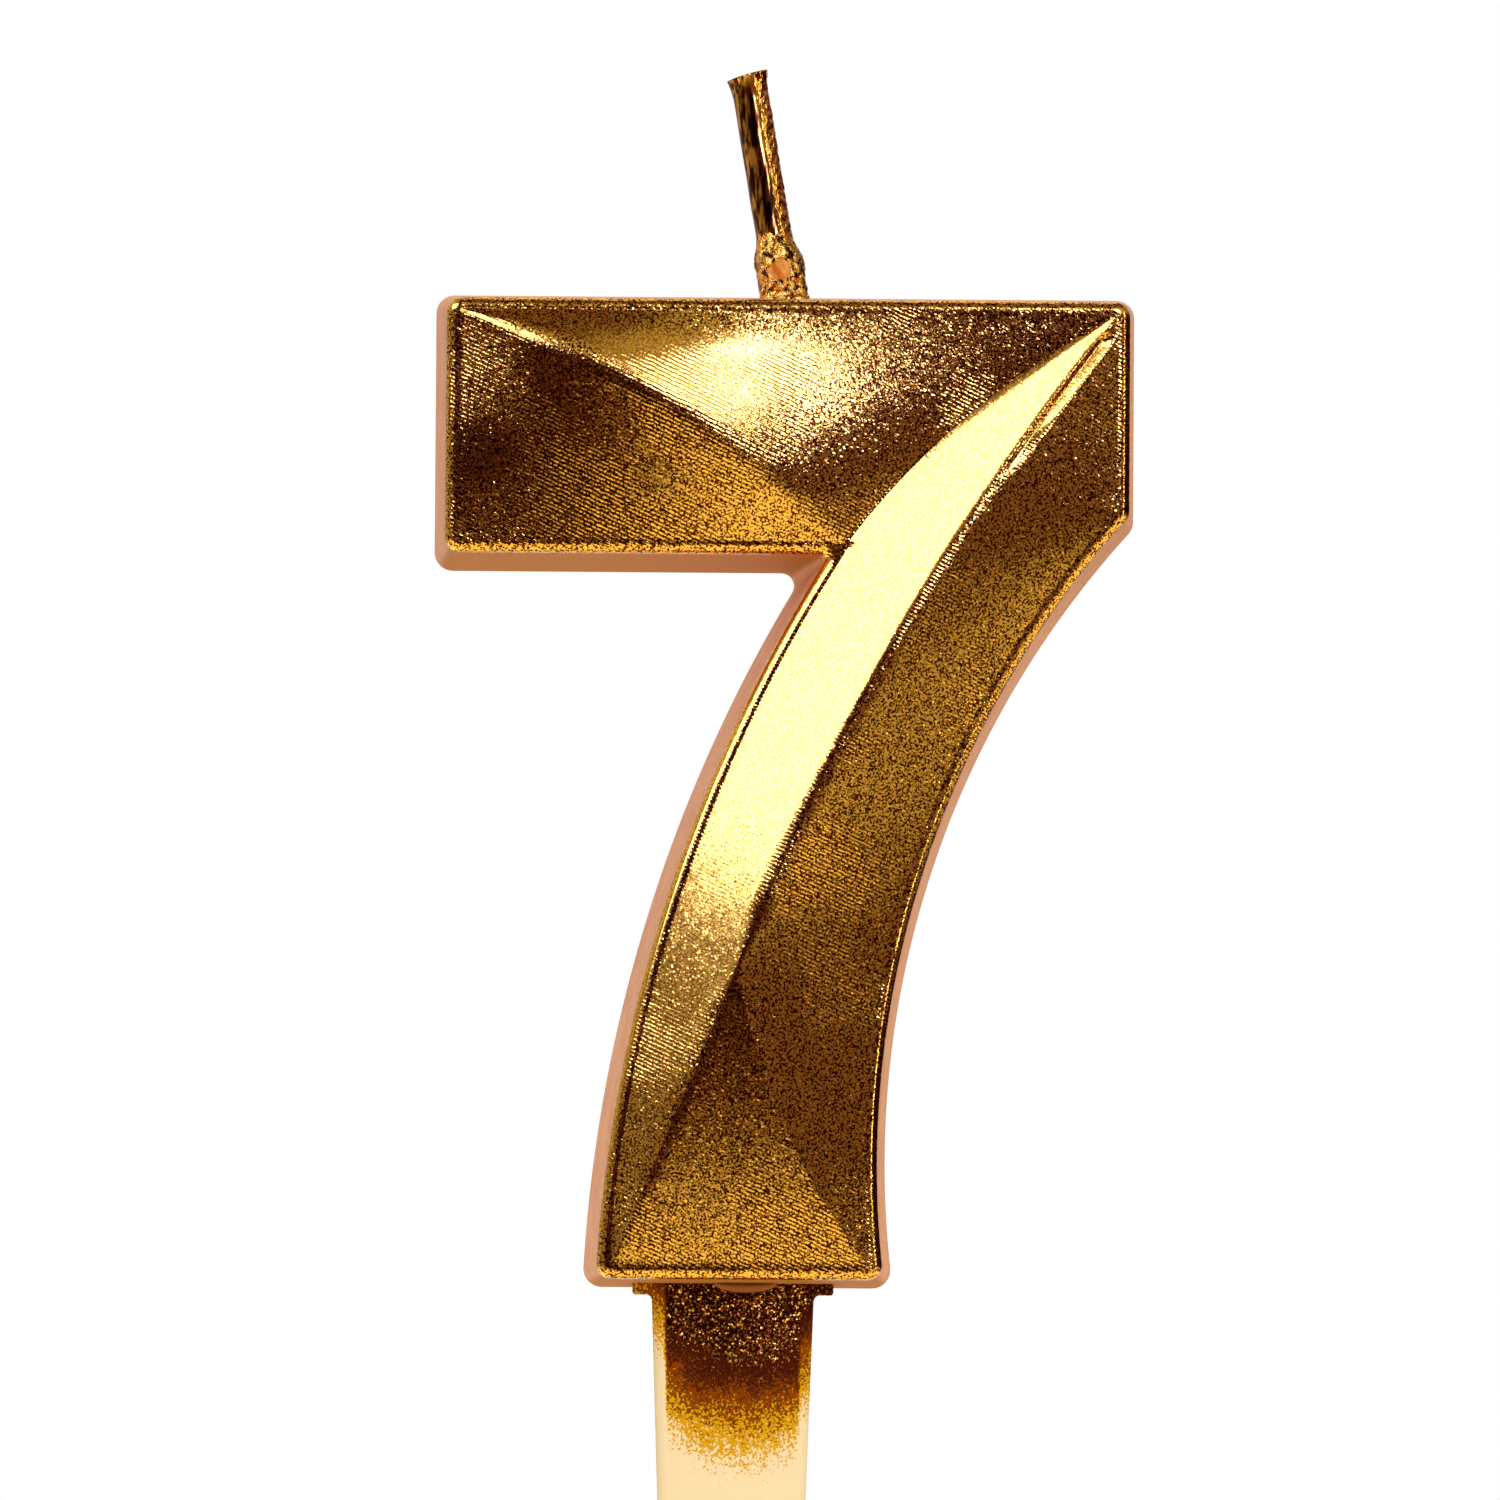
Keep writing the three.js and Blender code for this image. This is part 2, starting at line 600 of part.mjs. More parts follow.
// Cutting and joining of closed shapes
const wasm = await Module();
wasm.setup();

function solid(geometry) {
  const bare = geometry.index ? geometry.toNonIndexed() : geometry.clone();
  bare.deleteAttribute('normal');
  bare.deleteAttribute('uv');
  const merged = mergeVertices(bare, MERGE_DISTANCE);
  return new wasm.Manifold(new wasm.Mesh({
    numProp: 3,
    vertProperties: merged.attributes.position.array,
    triVerts: Uint32Array.from(merged.index.array),
  }));
}

// A cylinder along Y on the pick's centreline
function cylinderAcross(radius, length, z) {
  return new THREE.CylinderGeometry(radius, radius, length, KEY_HOLE_SIDES).translate(0, 0, z);
}

// The numeral: a channel for the wick from the top, and a pocket for the seal, the tongue and
// the ears from the foot
function makeNumeral(blank, bore) {
  const pocketWall = SEAT_GAP + SEAL_WALL + SEAT_GAP;
  const pocketShape = tongueShape(pocketWall, -SHOULDER_HEIGHT);
  const pocket = plate(pocketShape, PICK_THICKNESS + 2 * pocketWall);
  const seatTop = SHOULDER_HEIGHT + SEAT_GAP;
  const seatWidth = SHOULDER_WIDTH + 2 * SEAT_GAP;
  const seat = new THREE.BoxGeometry(seatWidth, PICK_THICKNESS + 2 * SEAT_GAP, 2 * seatTop);
  return solid(blank).subtract(bore).subtract(solid(pocket)).subtract(solid(seat));
}

// The bore that the core lies in, through the numeral, the collar and the jacket
function makeBore() {
  const top = WICK_EXPOSED_LENGTH - WICK_JACKET_CAP;
  const radiusAt = () => WICK_CORE_RADIUS + WICK_GAP;
  return solid(alongWick(-WICK.hiddenLength, top, radiusAt, WICK_CORE_STEPS));
}

function makeWickCore() {
  const from = WICK_GAP - WICK.hiddenLength;
  const to = WICK_EXPOSED_LENGTH - WICK_JACKET_CAP - WICK_GAP;
  return solid(alongWick(from, to, () => WICK_CORE_RADIUS, WICK_CORE_STEPS));
}

// The jacket: it flares towards its tip, which a slanted cut ends
function makeWickJacket(bore) {
  const flareStart = WICK_EXPOSED_LENGTH - WICK_FLARE_LENGTH;
  const radiusAt = (station) => {
    const share = Math.max(0, (station - flareStart) / WICK_FLARE_LENGTH);
    return lerp(WICK_JACKET_RADIUS, WICK_FLARE_RADIUS, Math.min(1, share) ** 2);
  };
  const spare = WICK_FLARE_RADIUS;
  const stock = alongWick(COLLAR_HEIGHT + JOINT_GAP, WICK_EXPOSED_LENGTH + spare, radiusAt,
    WICK_JACKET_STEPS);
  const knifeSize = 4 * (WICK_FLARE_RADIUS + spare);
  const knife = new THREE.BoxGeometry(knifeSize, knifeSize, knifeSize);
  knife.translate(0, 0, knifeSize / 2).rotateY(-WICK_CUT_DEGREES * DEG2RAD);
  knife.translate(...WICK.tip.toArray());
  return solid(stock).subtract(solid(knife)).subtract(bore);
}

// The collar: it stands on the numeral's top and narrows to the jacket that it meets
function makeWickCollar(blank, bore) {
  const radiusAt = (station) => {
    const share = (station - COLLAR_SHOULDER_HEIGHT) / (COLLAR_HEIGHT - COLLAR_SHOULDER_HEIGHT);
    return lerp(COLLAR_RADIUS, WICK_JACKET_RADIUS, THREE.MathUtils.smoothstep(share, 0, 1));
  };
  const stock = alongWick(-COLLAR_RADIUS, COLLAR_HEIGHT, radiusAt, COLLAR_STEPS);
  const raisedBlank = blank.clone().translate(0, 0, SEAT_GAP);
  return solid(stock).subtract(solid(raisedBlank)).subtract(bore);
}

function makePick() {
  const tongue = solid(plate(tongueShape(0, SHOULDER_HEIGHT / 2), PICK_THICKNESS));
  const shoulder = solid(plate(shoulderShape(), PICK_THICKNESS));
  const whole = tongue.add(shoulder).add(solid(bladeGeometry()));
  const holes = keyHoleHeights().map((z) =>
    solid(cylinderAcross(KEY_HOLE_RADIUS, 2 * PICK_THICKNESS, z)));
  return holes.reduce((piece, hole) => piece.subtract(hole), whole);
}

// The seal: a sleeve over the tongue, pegs through its key holes, and the bead at its front lip
function makePickSeal() {
  const innerThickness = PICK_THICKNESS + 2 * SEAT_GAP;
  const outerThickness = innerThickness + 2 * SEAL_WALL;
  const footZ = SHOULDER_HEIGHT + SEAT_GAP;
  const outer = solid(plate(tongueShape(SEAT_GAP + SEAL_WALL, footZ), outerThickness));
  const inner = solid(plate(tongueShape(SEAT_GAP, -SHOULDER_HEIGHT), innerThickness));
  const wallMiddleY = -(innerThickness + SEAL_WALL) / 2;
  const lip = new THREE.SphereGeometry(1, BEAD_SIDES, BEAD_RINGS);
  lip.scale(BEAD_LENGTH / 2, SEAL_WALL, BEAD_DROP + SEAT_GAP);
  lip.translate(BEAD_OFFSET, wallMiddleY, footZ);
  const withinWall = new THREE.BoxGeometry(BEAD_LENGTH, SEAL_WALL, 2 * (BEAD_DROP + SEAT_GAP));
  withinWall.translate(BEAD_OFFSET, wallMiddleY, footZ);
  const bead = solid(lip).intersect(solid(withinWall));
  const pegs = keyHoleHeights().map((z) =>
    solid(cylinderAcross(KEY_HOLE_RADIUS - SEAT_GAP, outerThickness - SEAL_WALL, z)));
  return pegs.reduce((piece, peg) => piece.add(peg), outer.subtract(inner).add(bead));
}

function mesh(name, piece, material) {
  const { vertProperties, triVerts } = piece.getMesh();
  const geometry = new THREE.BufferGeometry();
  geometry.setAttribute('position', new THREE.BufferAttribute(vertProperties, 3));
  geometry.setIndex(new THREE.BufferAttribute(triVerts, 1));
  geometry.computeVertexNormals();
  const node = new THREE.Mesh(geometry, material);
  node.name = name;
  return node;
}

const finish = (color, roughness, metalness) =>
  new THREE.MeshStandardMaterial({ color, roughness, metalness });
const gildedWax = finish(0xc89233, 0.34, 1);
const gildedWick = finish(0xd2a23c, 0.2, 1);
const cotton = finish(0xeee6d2, 0.95, 0);
const sealWax = finish(0xd9a878, 0.6, 0);
const creamPlastic = finish(0xf7ead0, 0.4, 0);

const blank = numeralBlank();
const bore = makeBore();

const candle = new THREE.Group();
candle.add(mesh('wax_numeral', makeNumeral(blank, bore), gildedWax));
candle.add(mesh('wick_core', makeWickCore(), cotton));
candle.add(mesh('wick_jacket', makeWickJacket(bore), gildedWick));
candle.add(mesh('wick_collar', makeWickCollar(blank, bore), gildedWax));
candle.add(mesh('pick', makePick(), creamPlastic));
candle.add(mesh('pick_seal', makePickSeal(), sealWax));

export default candle;
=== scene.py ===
import math

import bmesh
import bpy
import numpy as np
from mathutils import Matrix, Quaternion, Vector, noise


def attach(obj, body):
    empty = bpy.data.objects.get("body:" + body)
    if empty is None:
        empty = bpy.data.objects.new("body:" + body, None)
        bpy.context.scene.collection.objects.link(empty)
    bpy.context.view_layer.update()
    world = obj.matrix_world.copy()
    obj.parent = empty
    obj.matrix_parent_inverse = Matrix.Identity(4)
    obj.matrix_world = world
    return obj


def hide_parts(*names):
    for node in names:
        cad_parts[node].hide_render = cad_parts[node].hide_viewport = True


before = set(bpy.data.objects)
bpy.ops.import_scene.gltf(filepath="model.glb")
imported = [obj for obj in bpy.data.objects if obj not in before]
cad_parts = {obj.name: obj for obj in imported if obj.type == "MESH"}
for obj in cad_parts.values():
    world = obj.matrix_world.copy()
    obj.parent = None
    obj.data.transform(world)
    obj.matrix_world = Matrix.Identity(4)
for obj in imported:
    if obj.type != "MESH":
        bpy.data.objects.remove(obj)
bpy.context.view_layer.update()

# Number candle: a gilded wax figure seven on a flat pick. Sizes are in millimetres and angles in
# degrees, in the candle's own frame; MM turns a size into Blender's metres.
MM = 0.001

# Numeral outline at the front rim, where the drafted side walls start
NUMERAL_HEIGHT = 68.28
ARM_LENGTH = 47.7
ARM_HEIGHT = 17.8
ARM_REACH = 20.5
RIGHT_EDGE_HEIGHT = 15.0
FOOT_WIDTH = 20.03
FOOT_OFFSET = 0.37
INNER_CORNER_INSET = 26.8
STEM_LEFT_RADIUS = 104.2
STEM_RIGHT_RADIUS = 67.2

# Numeral depth and edges
LAND_Y = -6.4
BACK_FACE_Y = 3.6
DRAFT_DEGREES = 5.28
RIM_FILLET = 0.72
RIM_LAND = 0.12
CORNER_RADIUS_RIM = 1.05
CORNER_RADIUS_CREASE = 0.4
CORNER_RADIUS_BACK = 1.3
INNER_RADIUS_RIM = 0.35
INNER_RADIUS_CREASE = 0.3
INNER_RADIUS_BACK = 0.9

# Relief of the front
APEX_X = 0
APEX_Z = 22.9
APEX_HEIGHT = 2.2
ARM_RIDGE_HEIGHT = 2.0
ARM_RIDGE_BOW = 2.0
ARM_TOP_HOLLOW = 0.8
VALLEY_BOW = 1.38
STEM_RIDGE_RISE = 1.3
STEM_RIDGE_BOW = 2.0
FOOT_RIDGE_RISE = 0.4
FOOT_EDGE_BOW = 1.4

# Rounding of the ridges. Along the stem's ridge it tapers off towards the apex.
RIDGE_SOFTENING = 1.0
SOFTENED_SHARE_OF_FACET = 0.45
APEX_TAPER_LENGTH = 4
APEX_TAPER_LEAST = 0.02

# Groove beside the stem's ridge, which fades away from the top right corner
GROOVE_LENGTH = 14
GROOVE_WIDTH = 1.1
GROOVE_BOTTOM = 0.35
GROOVE_DEPTH = 0.4
GROOVE_FADE = 2

# Wick. Its lumps and crinkles are shares of its radius, and the crinkles are on its right side.
# A noise of lumps has its scale round the line, its scale along it and its start.
WICK_RADIUS = 1.27
WICK_FLARE_RADIUS = 1.5
WICK_FLARE_LENGTH = 1.6
WICK_EXPOSED_LENGTH = 15.9
WICK_BURIED = 0.6
WICK_LEAN_DEGREES = 9.8
WICK_CUT_DEGREES = 17
WICK_LEVEL_SHARE = 0.6
WICK_EXIT_X = 3.15
WICK_Y = -1.4
WICK_LUMP = 0.03
WICK_CRINKLE = 0.05
WICK_CRINKLE_START = 0.2
WICK_LUMP_NOISE = (1.3, 0.35, 0)
WICK_CRINKLE_NOISE = (4, 2.6, 20)
WICK_TOP_RINGS = (0.9, 0.7, 0.45, 0.2)
WICK_TOP_HOLLOW = 0.12
WICK_TOP_LUMP = 0.16
WICK_TOP_LUMP_SCALE = 2.2

# Collar, the nub of wax round the wick's foot
COLLAR_RADIUS = 1.72
COLLAR_HEIGHT = 4.7
COLLAR_SHOULDER_HEIGHT = 2.4
COLLAR_BURIED = 1.2
COLLAR_LUMP = 0.07
COLLAR_GRAIN = 0.042
COLLAR_LUMP_NOISE = (1.6, 0.8, 7)
COLLAR_GRAIN_NOISE = (5, 3, 3)

# Pick: a blade with two ears
PICK_THICKNESS = 2.45
PICK_BURIED = 3.0
BLADE_WIDTH = 11.36
BLADE_TIP_WIDTH = 8.9
BLADE_LENGTH = 45
BLADE_POINT_LENGTH = 9
BLADE_POINT_FLAT = 1.2
BLADE_BEVEL_WIDTH = 0.75
BLADE_BEVEL_DEPTH = 0.6
BLADE_BEVEL_BULGE = 0.08
SHOULDER_WIDTH = 14.07
SHOULDER_HEIGHT = 1.0
SHOULDER_BURIED = 0.3
SHOULDER_FILLET = 0.4
EAR_REACH_IN = 1.5
EAR_RISE = 0.6
EAR_CHAMFER = 0.12
EAR_SET_BACK = 0.03
EAR_ROUNDING = 0.08

# Bead of sealing wax in front of the blade
BEAD_LENGTH = 4.5
BEAD_OFFSET = 0.87
BEAD_HALF_DEPTH = 0.35
BEAD_HALF_HEIGHT = 0.75
BEAD_IN_FRONT = 0.6
BEAD_BELOW_SHOULDER = 0.1

# Places that follow from the sizes
RIM_Y = LAND_Y + RIM_FILLET
DRAFT_SLOPE = math.tan(math.radians(DRAFT_DEGREES))
CREASE_INSET = RIM_FILLET + RIM_LAND
FOOT_Z = SHOULDER_HEIGHT - SHOULDER_BURIED - DRAFT_SLOPE * RIM_Y
TOP_Z = FOOT_Z + NUMERAL_HEIGHT
TOP_Z_AT_WICK = TOP_Z + DRAFT_SLOPE * (WICK_Y - RIM_Y)
FLOOR_Z = -BLADE_LENGTH

# Segments of the numeral. A facet's side on the crease is an edge with half a corner at each end,
# but only a part of the inner corner is the arm's. The ridges have as many as the sides opposite.
CORNER_SEGMENTS = 8
INNER_CORNER_OF_ARM = 2
TOP_SEGMENTS = 186
ARM_RIDGE_SEGMENTS = TOP_SEGMENTS + CORNER_SEGMENTS
UNDERSIDE_SEGMENTS = ARM_RIDGE_SEGMENTS - CORNER_SEGMENTS // 2 - INNER_CORNER_OF_ARM
VALLEY_SEGMENTS = 70
STEM_RIDGE_SEGMENTS = 210
FOOT_RIDGE_SEGMENTS = 90
RIDGE_SEGMENTS = STEM_RIDGE_SEGMENTS + FOOT_RIDGE_SEGMENTS
STEM_LEFT_SEGMENTS = (RIDGE_SEGMENTS - VALLEY_SEGMENTS - CORNER_SEGMENTS * 3 // 2
                      + INNER_CORNER_OF_ARM)
RIGHT_EDGE_SEGMENTS = 52
STEM_RIGHT_SEGMENTS = RIDGE_SEGMENTS - RIGHT_EDGE_SEGMENTS - 2 * CORNER_SEGMENTS
FOOT_SEGMENTS = 62
ARM_END_SEGMENTS = 52
STEM_ACROSS_SEGMENTS = 56
FILLET_SEGMENTS = 8
WALL_SEGMENTS = 14
FACET_GRADING = 1.5
MEETING_PASSES = 200
RELAXING_PASSES = 500
WELD_DISTANCE = 0.002

# Segments of the smaller pieces
WICK_SIDES = 72
WICK_RINGS = 110
COLLAR_RINGS = 60
BLADE_ROWS = 120
BEVEL_STEPS = 4
EAR_FILLET_STEPS = 6
BEAD_RINGS = 24
BEAD_SIDES = 24


def plan(x, z):
    return np.array([float(x), float(z)])


class Edge:
    """One edge of the outline: straight, or an arc that bulges outward (swell 1) or inward (-1)."""

    def __init__(self, start, end, segments, radius=None, swell=1):
        self.start = start
        self.segments = segments
        self.radius = radius
        self.swell = swell
        half = (end - start) / 2
        if radius is None:
            self.along = half / np.linalg.norm(half)
            self.outward = plan(self.along[1], -self.along[0])
        else:
            rise = math.sqrt(radius ** 2 - half @ half)
            inward = plan(-half[1], half[0]) / np.linalg.norm(half)
            self.centre = start + half + inward * rise * swell

    def nearest(self, offset, point):
        """The point nearest to the given one on this edge moved outward by the offset."""
        if self.radius is None:
            base = self.start + self.outward * offset
            return base + self.along * ((point - base) @ self.along)
        away = point - self.centre
        return self.centre + away / np.linalg.norm(away) * (self.radius + self.swell * offset)

    def between(self, first, last):
        """Points along the edge from first to last."""
        shares = np.linspace(0, 1, self.segments + 1)
        if self.radius is None:
            return first + np.outer(shares, last - first)
        return self.centre + turned(first - self.centre, last - self.centre, shares)


def turned(spoke, last_spoke, shares):
    """The spoke turned towards the last one by each share of the angle between them."""
    cross = spoke[0] * last_spoke[1] - spoke[1] * last_spoke[0]
    angles = math.atan2(cross, spoke @ last_spoke) * shares
    cos, sin = np.cos(angles), np.sin(angles)
    return np.stack([spoke[0] * cos - spoke[1] * sin, spoke[0] * sin + spoke[1] * cos], axis=1)


def outline_edges():
    foot_left = plan(FOOT_OFFSET - FOOT_WIDTH / 2, FOOT_Z)
    foot_right = plan(FOOT_OFFSET + FOOT_WIDTH / 2, FOOT_Z)
    right_end = plan(ARM_LENGTH - ARM_REACH, TOP_Z - RIGHT_EDGE_HEIGHT)
    top_right = plan(ARM_LENGTH - ARM_REACH, TOP_Z)
    top_left = plan(-ARM_REACH, TOP_Z)
    arm_left = plan(-ARM_REACH, TOP_Z - ARM_HEIGHT)
    inner = plan(INNER_CORNER_INSET - ARM_REACH, TOP_Z - ARM_HEIGHT)
    return [
        Edge(foot_left, foot_right, FOOT_SEGMENTS),
        Edge(foot_right, right_end, STEM_RIGHT_SEGMENTS, STEM_RIGHT_RADIUS, -1),
        Edge(right_end, top_right, RIGHT_EDGE_SEGMENTS),
        Edge(top_right, top_left, TOP_SEGMENTS),
        Edge(top_left, arm_left, ARM_END_SEGMENTS),
        Edge(arm_left, inner, UNDERSIDE_SEGMENTS),
        Edge(inner, foot_left, STEM_LEFT_SEGMENTS, STEM_LEFT_RADIUS, 1),
    ]


EDGES = outline_edges()
FOOT, STEM_RIGHT, RIGHT_EDGE, TOP, ARM_END, UNDERSIDE, STEM_LEFT = range(len(EDGES))
INNER_CORNER = STEM_LEFT


def meeting(before, after, offset):
    """Where two neighbouring edges meet once both are moved outward."""
    point = after.start.copy()
    for _ in range(MEETING_PASSES):
        point = before.nearest(offset, point)
        point = after.nearest(offset, point)
    return point


def corner_arc(index, offset, radius):
    """The rounded corner before an edge."""
    before, after = EDGES[index - 1], EDGES[index]
    side = -1 if index == INNER_CORNER else 1
    centre = meeting(before, after, offset - side * radius)
    first = before.nearest(offset, centre) - centre
    last = after.nearest(offset, centre) - centre
    return centre + turned(first, last, np.linspace(0, 1, CORNER_SEGMENTS + 1))


def laid(points, y):
    return np.stack([points[:, 0], np.full(len(points), y), points[:, 1]], axis=1)


def outline_at(offset, y, corner_radius, inner_radius):
    """The outline moved outward by the offset and laid at a depth, as corner arcs and edges."""
    arcs = [corner_arc(index, offset, inner_radius if index == INNER_CORNER else corner_radius)
            for index in range(len(EDGES))]
    edges = [edge.between(arcs[index][-1], arcs[(index + 1) % len(EDGES)][0])
             for index, edge in enumerate(EDGES)]
    return [laid(arc, y) for arc in arcs], [laid(points, y) for points in edges]


def ring_of(arcs, edges):
    return np.concatenate([part for arc, edge in zip(arcs, edges) for part in (arc[1:-1], edge)])


def bow(start, end, sagitta, height_at, shares):
    """Points on a circular bow of the relief between two points of the front."""
    first = plan(start[0], start[2])
    chord = plan(end[0], end[2]) - first
    length = np.linalg.norm(chord)
    across = plan(-chord[1], chord[0]) / length * math.copysign(1, sagitta)
    rise = abs(sagitta)
    radius = (length ** 2 / 4 + rise ** 2) / (2 * rise)
    lift = np.sqrt(radius ** 2 - ((shares - 0.5) * length) ** 2) - (radius - rise)
    points = first + np.outer(shares, chord) + np.outer(lift, across)
    return np.stack([points[:, 0], LAND_Y - height_at(shares), points[:, 1]], axis=1)


def even(count):
    return np.linspace(0, 1, count + 1)


def graded(count):
    return even(count) ** FACET_GRADING


def arched(height, shares):
    return 4 * height * shares * (1 - shares)


def rows_between(inner, outer, shares):
    """Rows of points that run straight from each point of one line to its partner on another."""
    return inner[:, None, :] + shares[None, :, None] * (outer - inner)[:, None, :]


def in_plan(points):
    return np.hypot(points[..., 0], points[..., 2])


def relaxed(rows):
    """The grid with its inner points drawn evenly between their neighbours, without kinks."""
    rows = rows.copy()
    for _ in range(RELAXING_PASSES):
        rows[1:-1, 1:-1] = (rows[:-2, 1:-1] + rows[2:, 1:-1]
                            + rows[1:-1, :-2] + rows[1:-1, 2:]) / 4
    return rows


def soften_ridge(one_side, other_side, widest=RIDGE_SOFTENING):
    """Rounds a ridge off: both sides are lowered by a parabola near the crest."""
    crest = one_side[:, :1, :].copy()
    sides = (one_side, other_side)
    spans = [in_plan(side[:, -1, :] - crest[:, 0, :]) for side in sides]
    shortest = np.minimum(*spans)
    wide = shortest > RIM_LAND
    safe = [np.where(wide, span, 1) for span in spans]
    fall = sum((side[:, -1, 1] - crest[:, 0, 1]) / span for side, span in zip(sides, safe))
    reach = np.minimum(widest, SOFTENED_SHARE_OF_FACET * np.where(wide, shortest, 1))
    for side in sides:
        distance = in_plan(side - crest)
        near = np.maximum(0, reach[:, None] - distance)
        parabola = fall[:, None] * near ** 2 / (4 * reach[:, None])
        side[:, :, 1] += np.where(wide[:, None], parabola, 0)


def cut_groove(side, corner):
    """Cuts the shallow groove into the facet on one side of the stem's ridge."""
    crest = side[:, :1, :]
    distance = in_plan(side - crest)
    from_corner = in_plan(crest[:, 0, :] - corner)
    fade = np.clip(GROOVE_FADE * (1 - from_corner / GROOVE_LENGTH), 0, 1)
    fade *= np.clip(GROOVE_FADE * (distance[:, -1] - GROOVE_WIDTH), 0, 1)
    down = np.clip(distance / GROOVE_BOTTOM, 0, 1)
    up = np.clip((GROOVE_WIDTH - distance) / (GROOVE_WIDTH - GROOVE_BOTTOM), 0, 1)
    side[:, :, 1] += GROOVE_DEPTH * fade[:, None] * np.minimum(down, up)


def crease_sides(arcs, edges):
    """The facets' sides on the crease: each edge with its part of the corner at each end."""
    cuts = [INNER_CORNER_OF_ARM if index == INNER_CORNER else CORNER_SEGMENTS // 2
            for index in range(len(EDGES))]
    sides = []
    for index, edge in enumerate(edges):
        after = (index + 1) % len(EDGES)
        before_edge = arcs[index][cuts[index]:-1]
        after_edge = arcs[after][1:cuts[after] + 1]
        sides.append(np.concatenate([before_edge, edge, after_edge]))
    return sides


def front_facets(arcs, edges):
    """The five facets of the front, as rows of points that end on the crease outline."""
    sides = crease_sides(arcs, edges)
    inner_point = sides[UNDERSIDE][-1]
    top, foot = sides[TOP], sides[FOOT]
    top_right, top_left = top[0], top[-1]
    apex = np.array([APEX_X, LAND_Y - APEX_HEIGHT, APEX_Z])
    across = graded(VALLEY_SEGMENTS)

    arm_ridge = bow(top_left, inner_point, ARM_RIDGE_BOW,
                    lambda share: arched(ARM_RIDGE_HEIGHT, share), even(ARM_RIDGE_SEGMENTS))
    valley = bow(inner_point, top_right, VALLEY_BOW, lambda share: 0 * share, across)
    stem_ridge = bow(top_right, apex, -STEM_RIDGE_BOW,
                     lambda share: APEX_HEIGHT * share + arched(STEM_RIDGE_RISE, share),
                     even(STEM_RIDGE_SEGMENTS))
    foot_shares = even(FOOT_RIDGE_SEGMENTS)
    foot_height = APEX_HEIGHT * (1 - foot_shares) + arched(FOOT_RIDGE_RISE, foot_shares)
    foot_ridge = apex + np.outer(foot_shares, foot[0] - apex)
    foot_ridge[:, 1] = LAND_Y - foot_height
    foot_edge = bow(apex, foot[-1], -FOOT_EDGE_BOW, lambda share: foot_height, foot_shares)

    arm_low = rows_between(arm_ridge, sides[UNDERSIDE], graded(len(sides[ARM_END]) - 1))
    arm_low[0] = sides[ARM_END]
    arm_high = rows_between(arm_ridge, top[::-1], across)
    chord = inner_point + np.outer(across, top_right - inner_point)
    along = even(ARM_RIDGE_SEGMENTS)
    arm_high += along[:, None, None] * (valley - chord)[None, :, :]
    hollow = 1 + ARM_TOP_HOLLOW * along[:, None]
    rise = LAND_Y - arm_ridge[:, None, 1]
    arm_high[:, :, 1] = LAND_Y - rise * (1 - across[None, :]) ** hollow

    left_line = np.concatenate([arm_high[-1][::-1], sides[STEM_LEFT][1:]])
    right_line = np.concatenate([sides[RIGHT_EDGE][::-1], sides[STEM_RIGHT][:-1][::-1]])
    left_crest = np.concatenate([stem_ridge, foot_ridge[1:]])
    right_crest = np.concatenate([stem_ridge, foot_edge[1:]])
    stem_shares = even(STEM_ACROSS_SEGMENTS)
    stem_low = relaxed(rows_between(left_crest, left_line, stem_shares))
    stem_high = relaxed(rows_between(right_crest, right_line, stem_shares))
    foot_rows = rows_between(foot_ridge, foot_edge, even(len(foot) - 1))
    foot_rows[-1] = foot

    foot_start = STEM_RIDGE_SEGMENTS + 1
    soften_ridge(arm_low[1:-1], arm_high[1:-1])
    from_apex = in_plan(stem_ridge[1:] - apex) / APEX_TAPER_LENGTH
    soften_ridge(stem_low[1:foot_start], stem_high[1:foot_start],
                 RIDGE_SOFTENING * np.clip(from_apex, APEX_TAPER_LEAST, 1))
    cut_groove(stem_high[1:foot_start], top_right)
    soften_ridge(stem_low[foot_start:-1], foot_rows[1:-1])
    foot_rows[0] = stem_low[STEM_RIDGE_SEGMENTS, 0]
    stem_high[foot_start:-1, 0] = foot_rows[1:-1, -1]
    return [arm_low, arm_high, stem_low, stem_high, foot_rows]


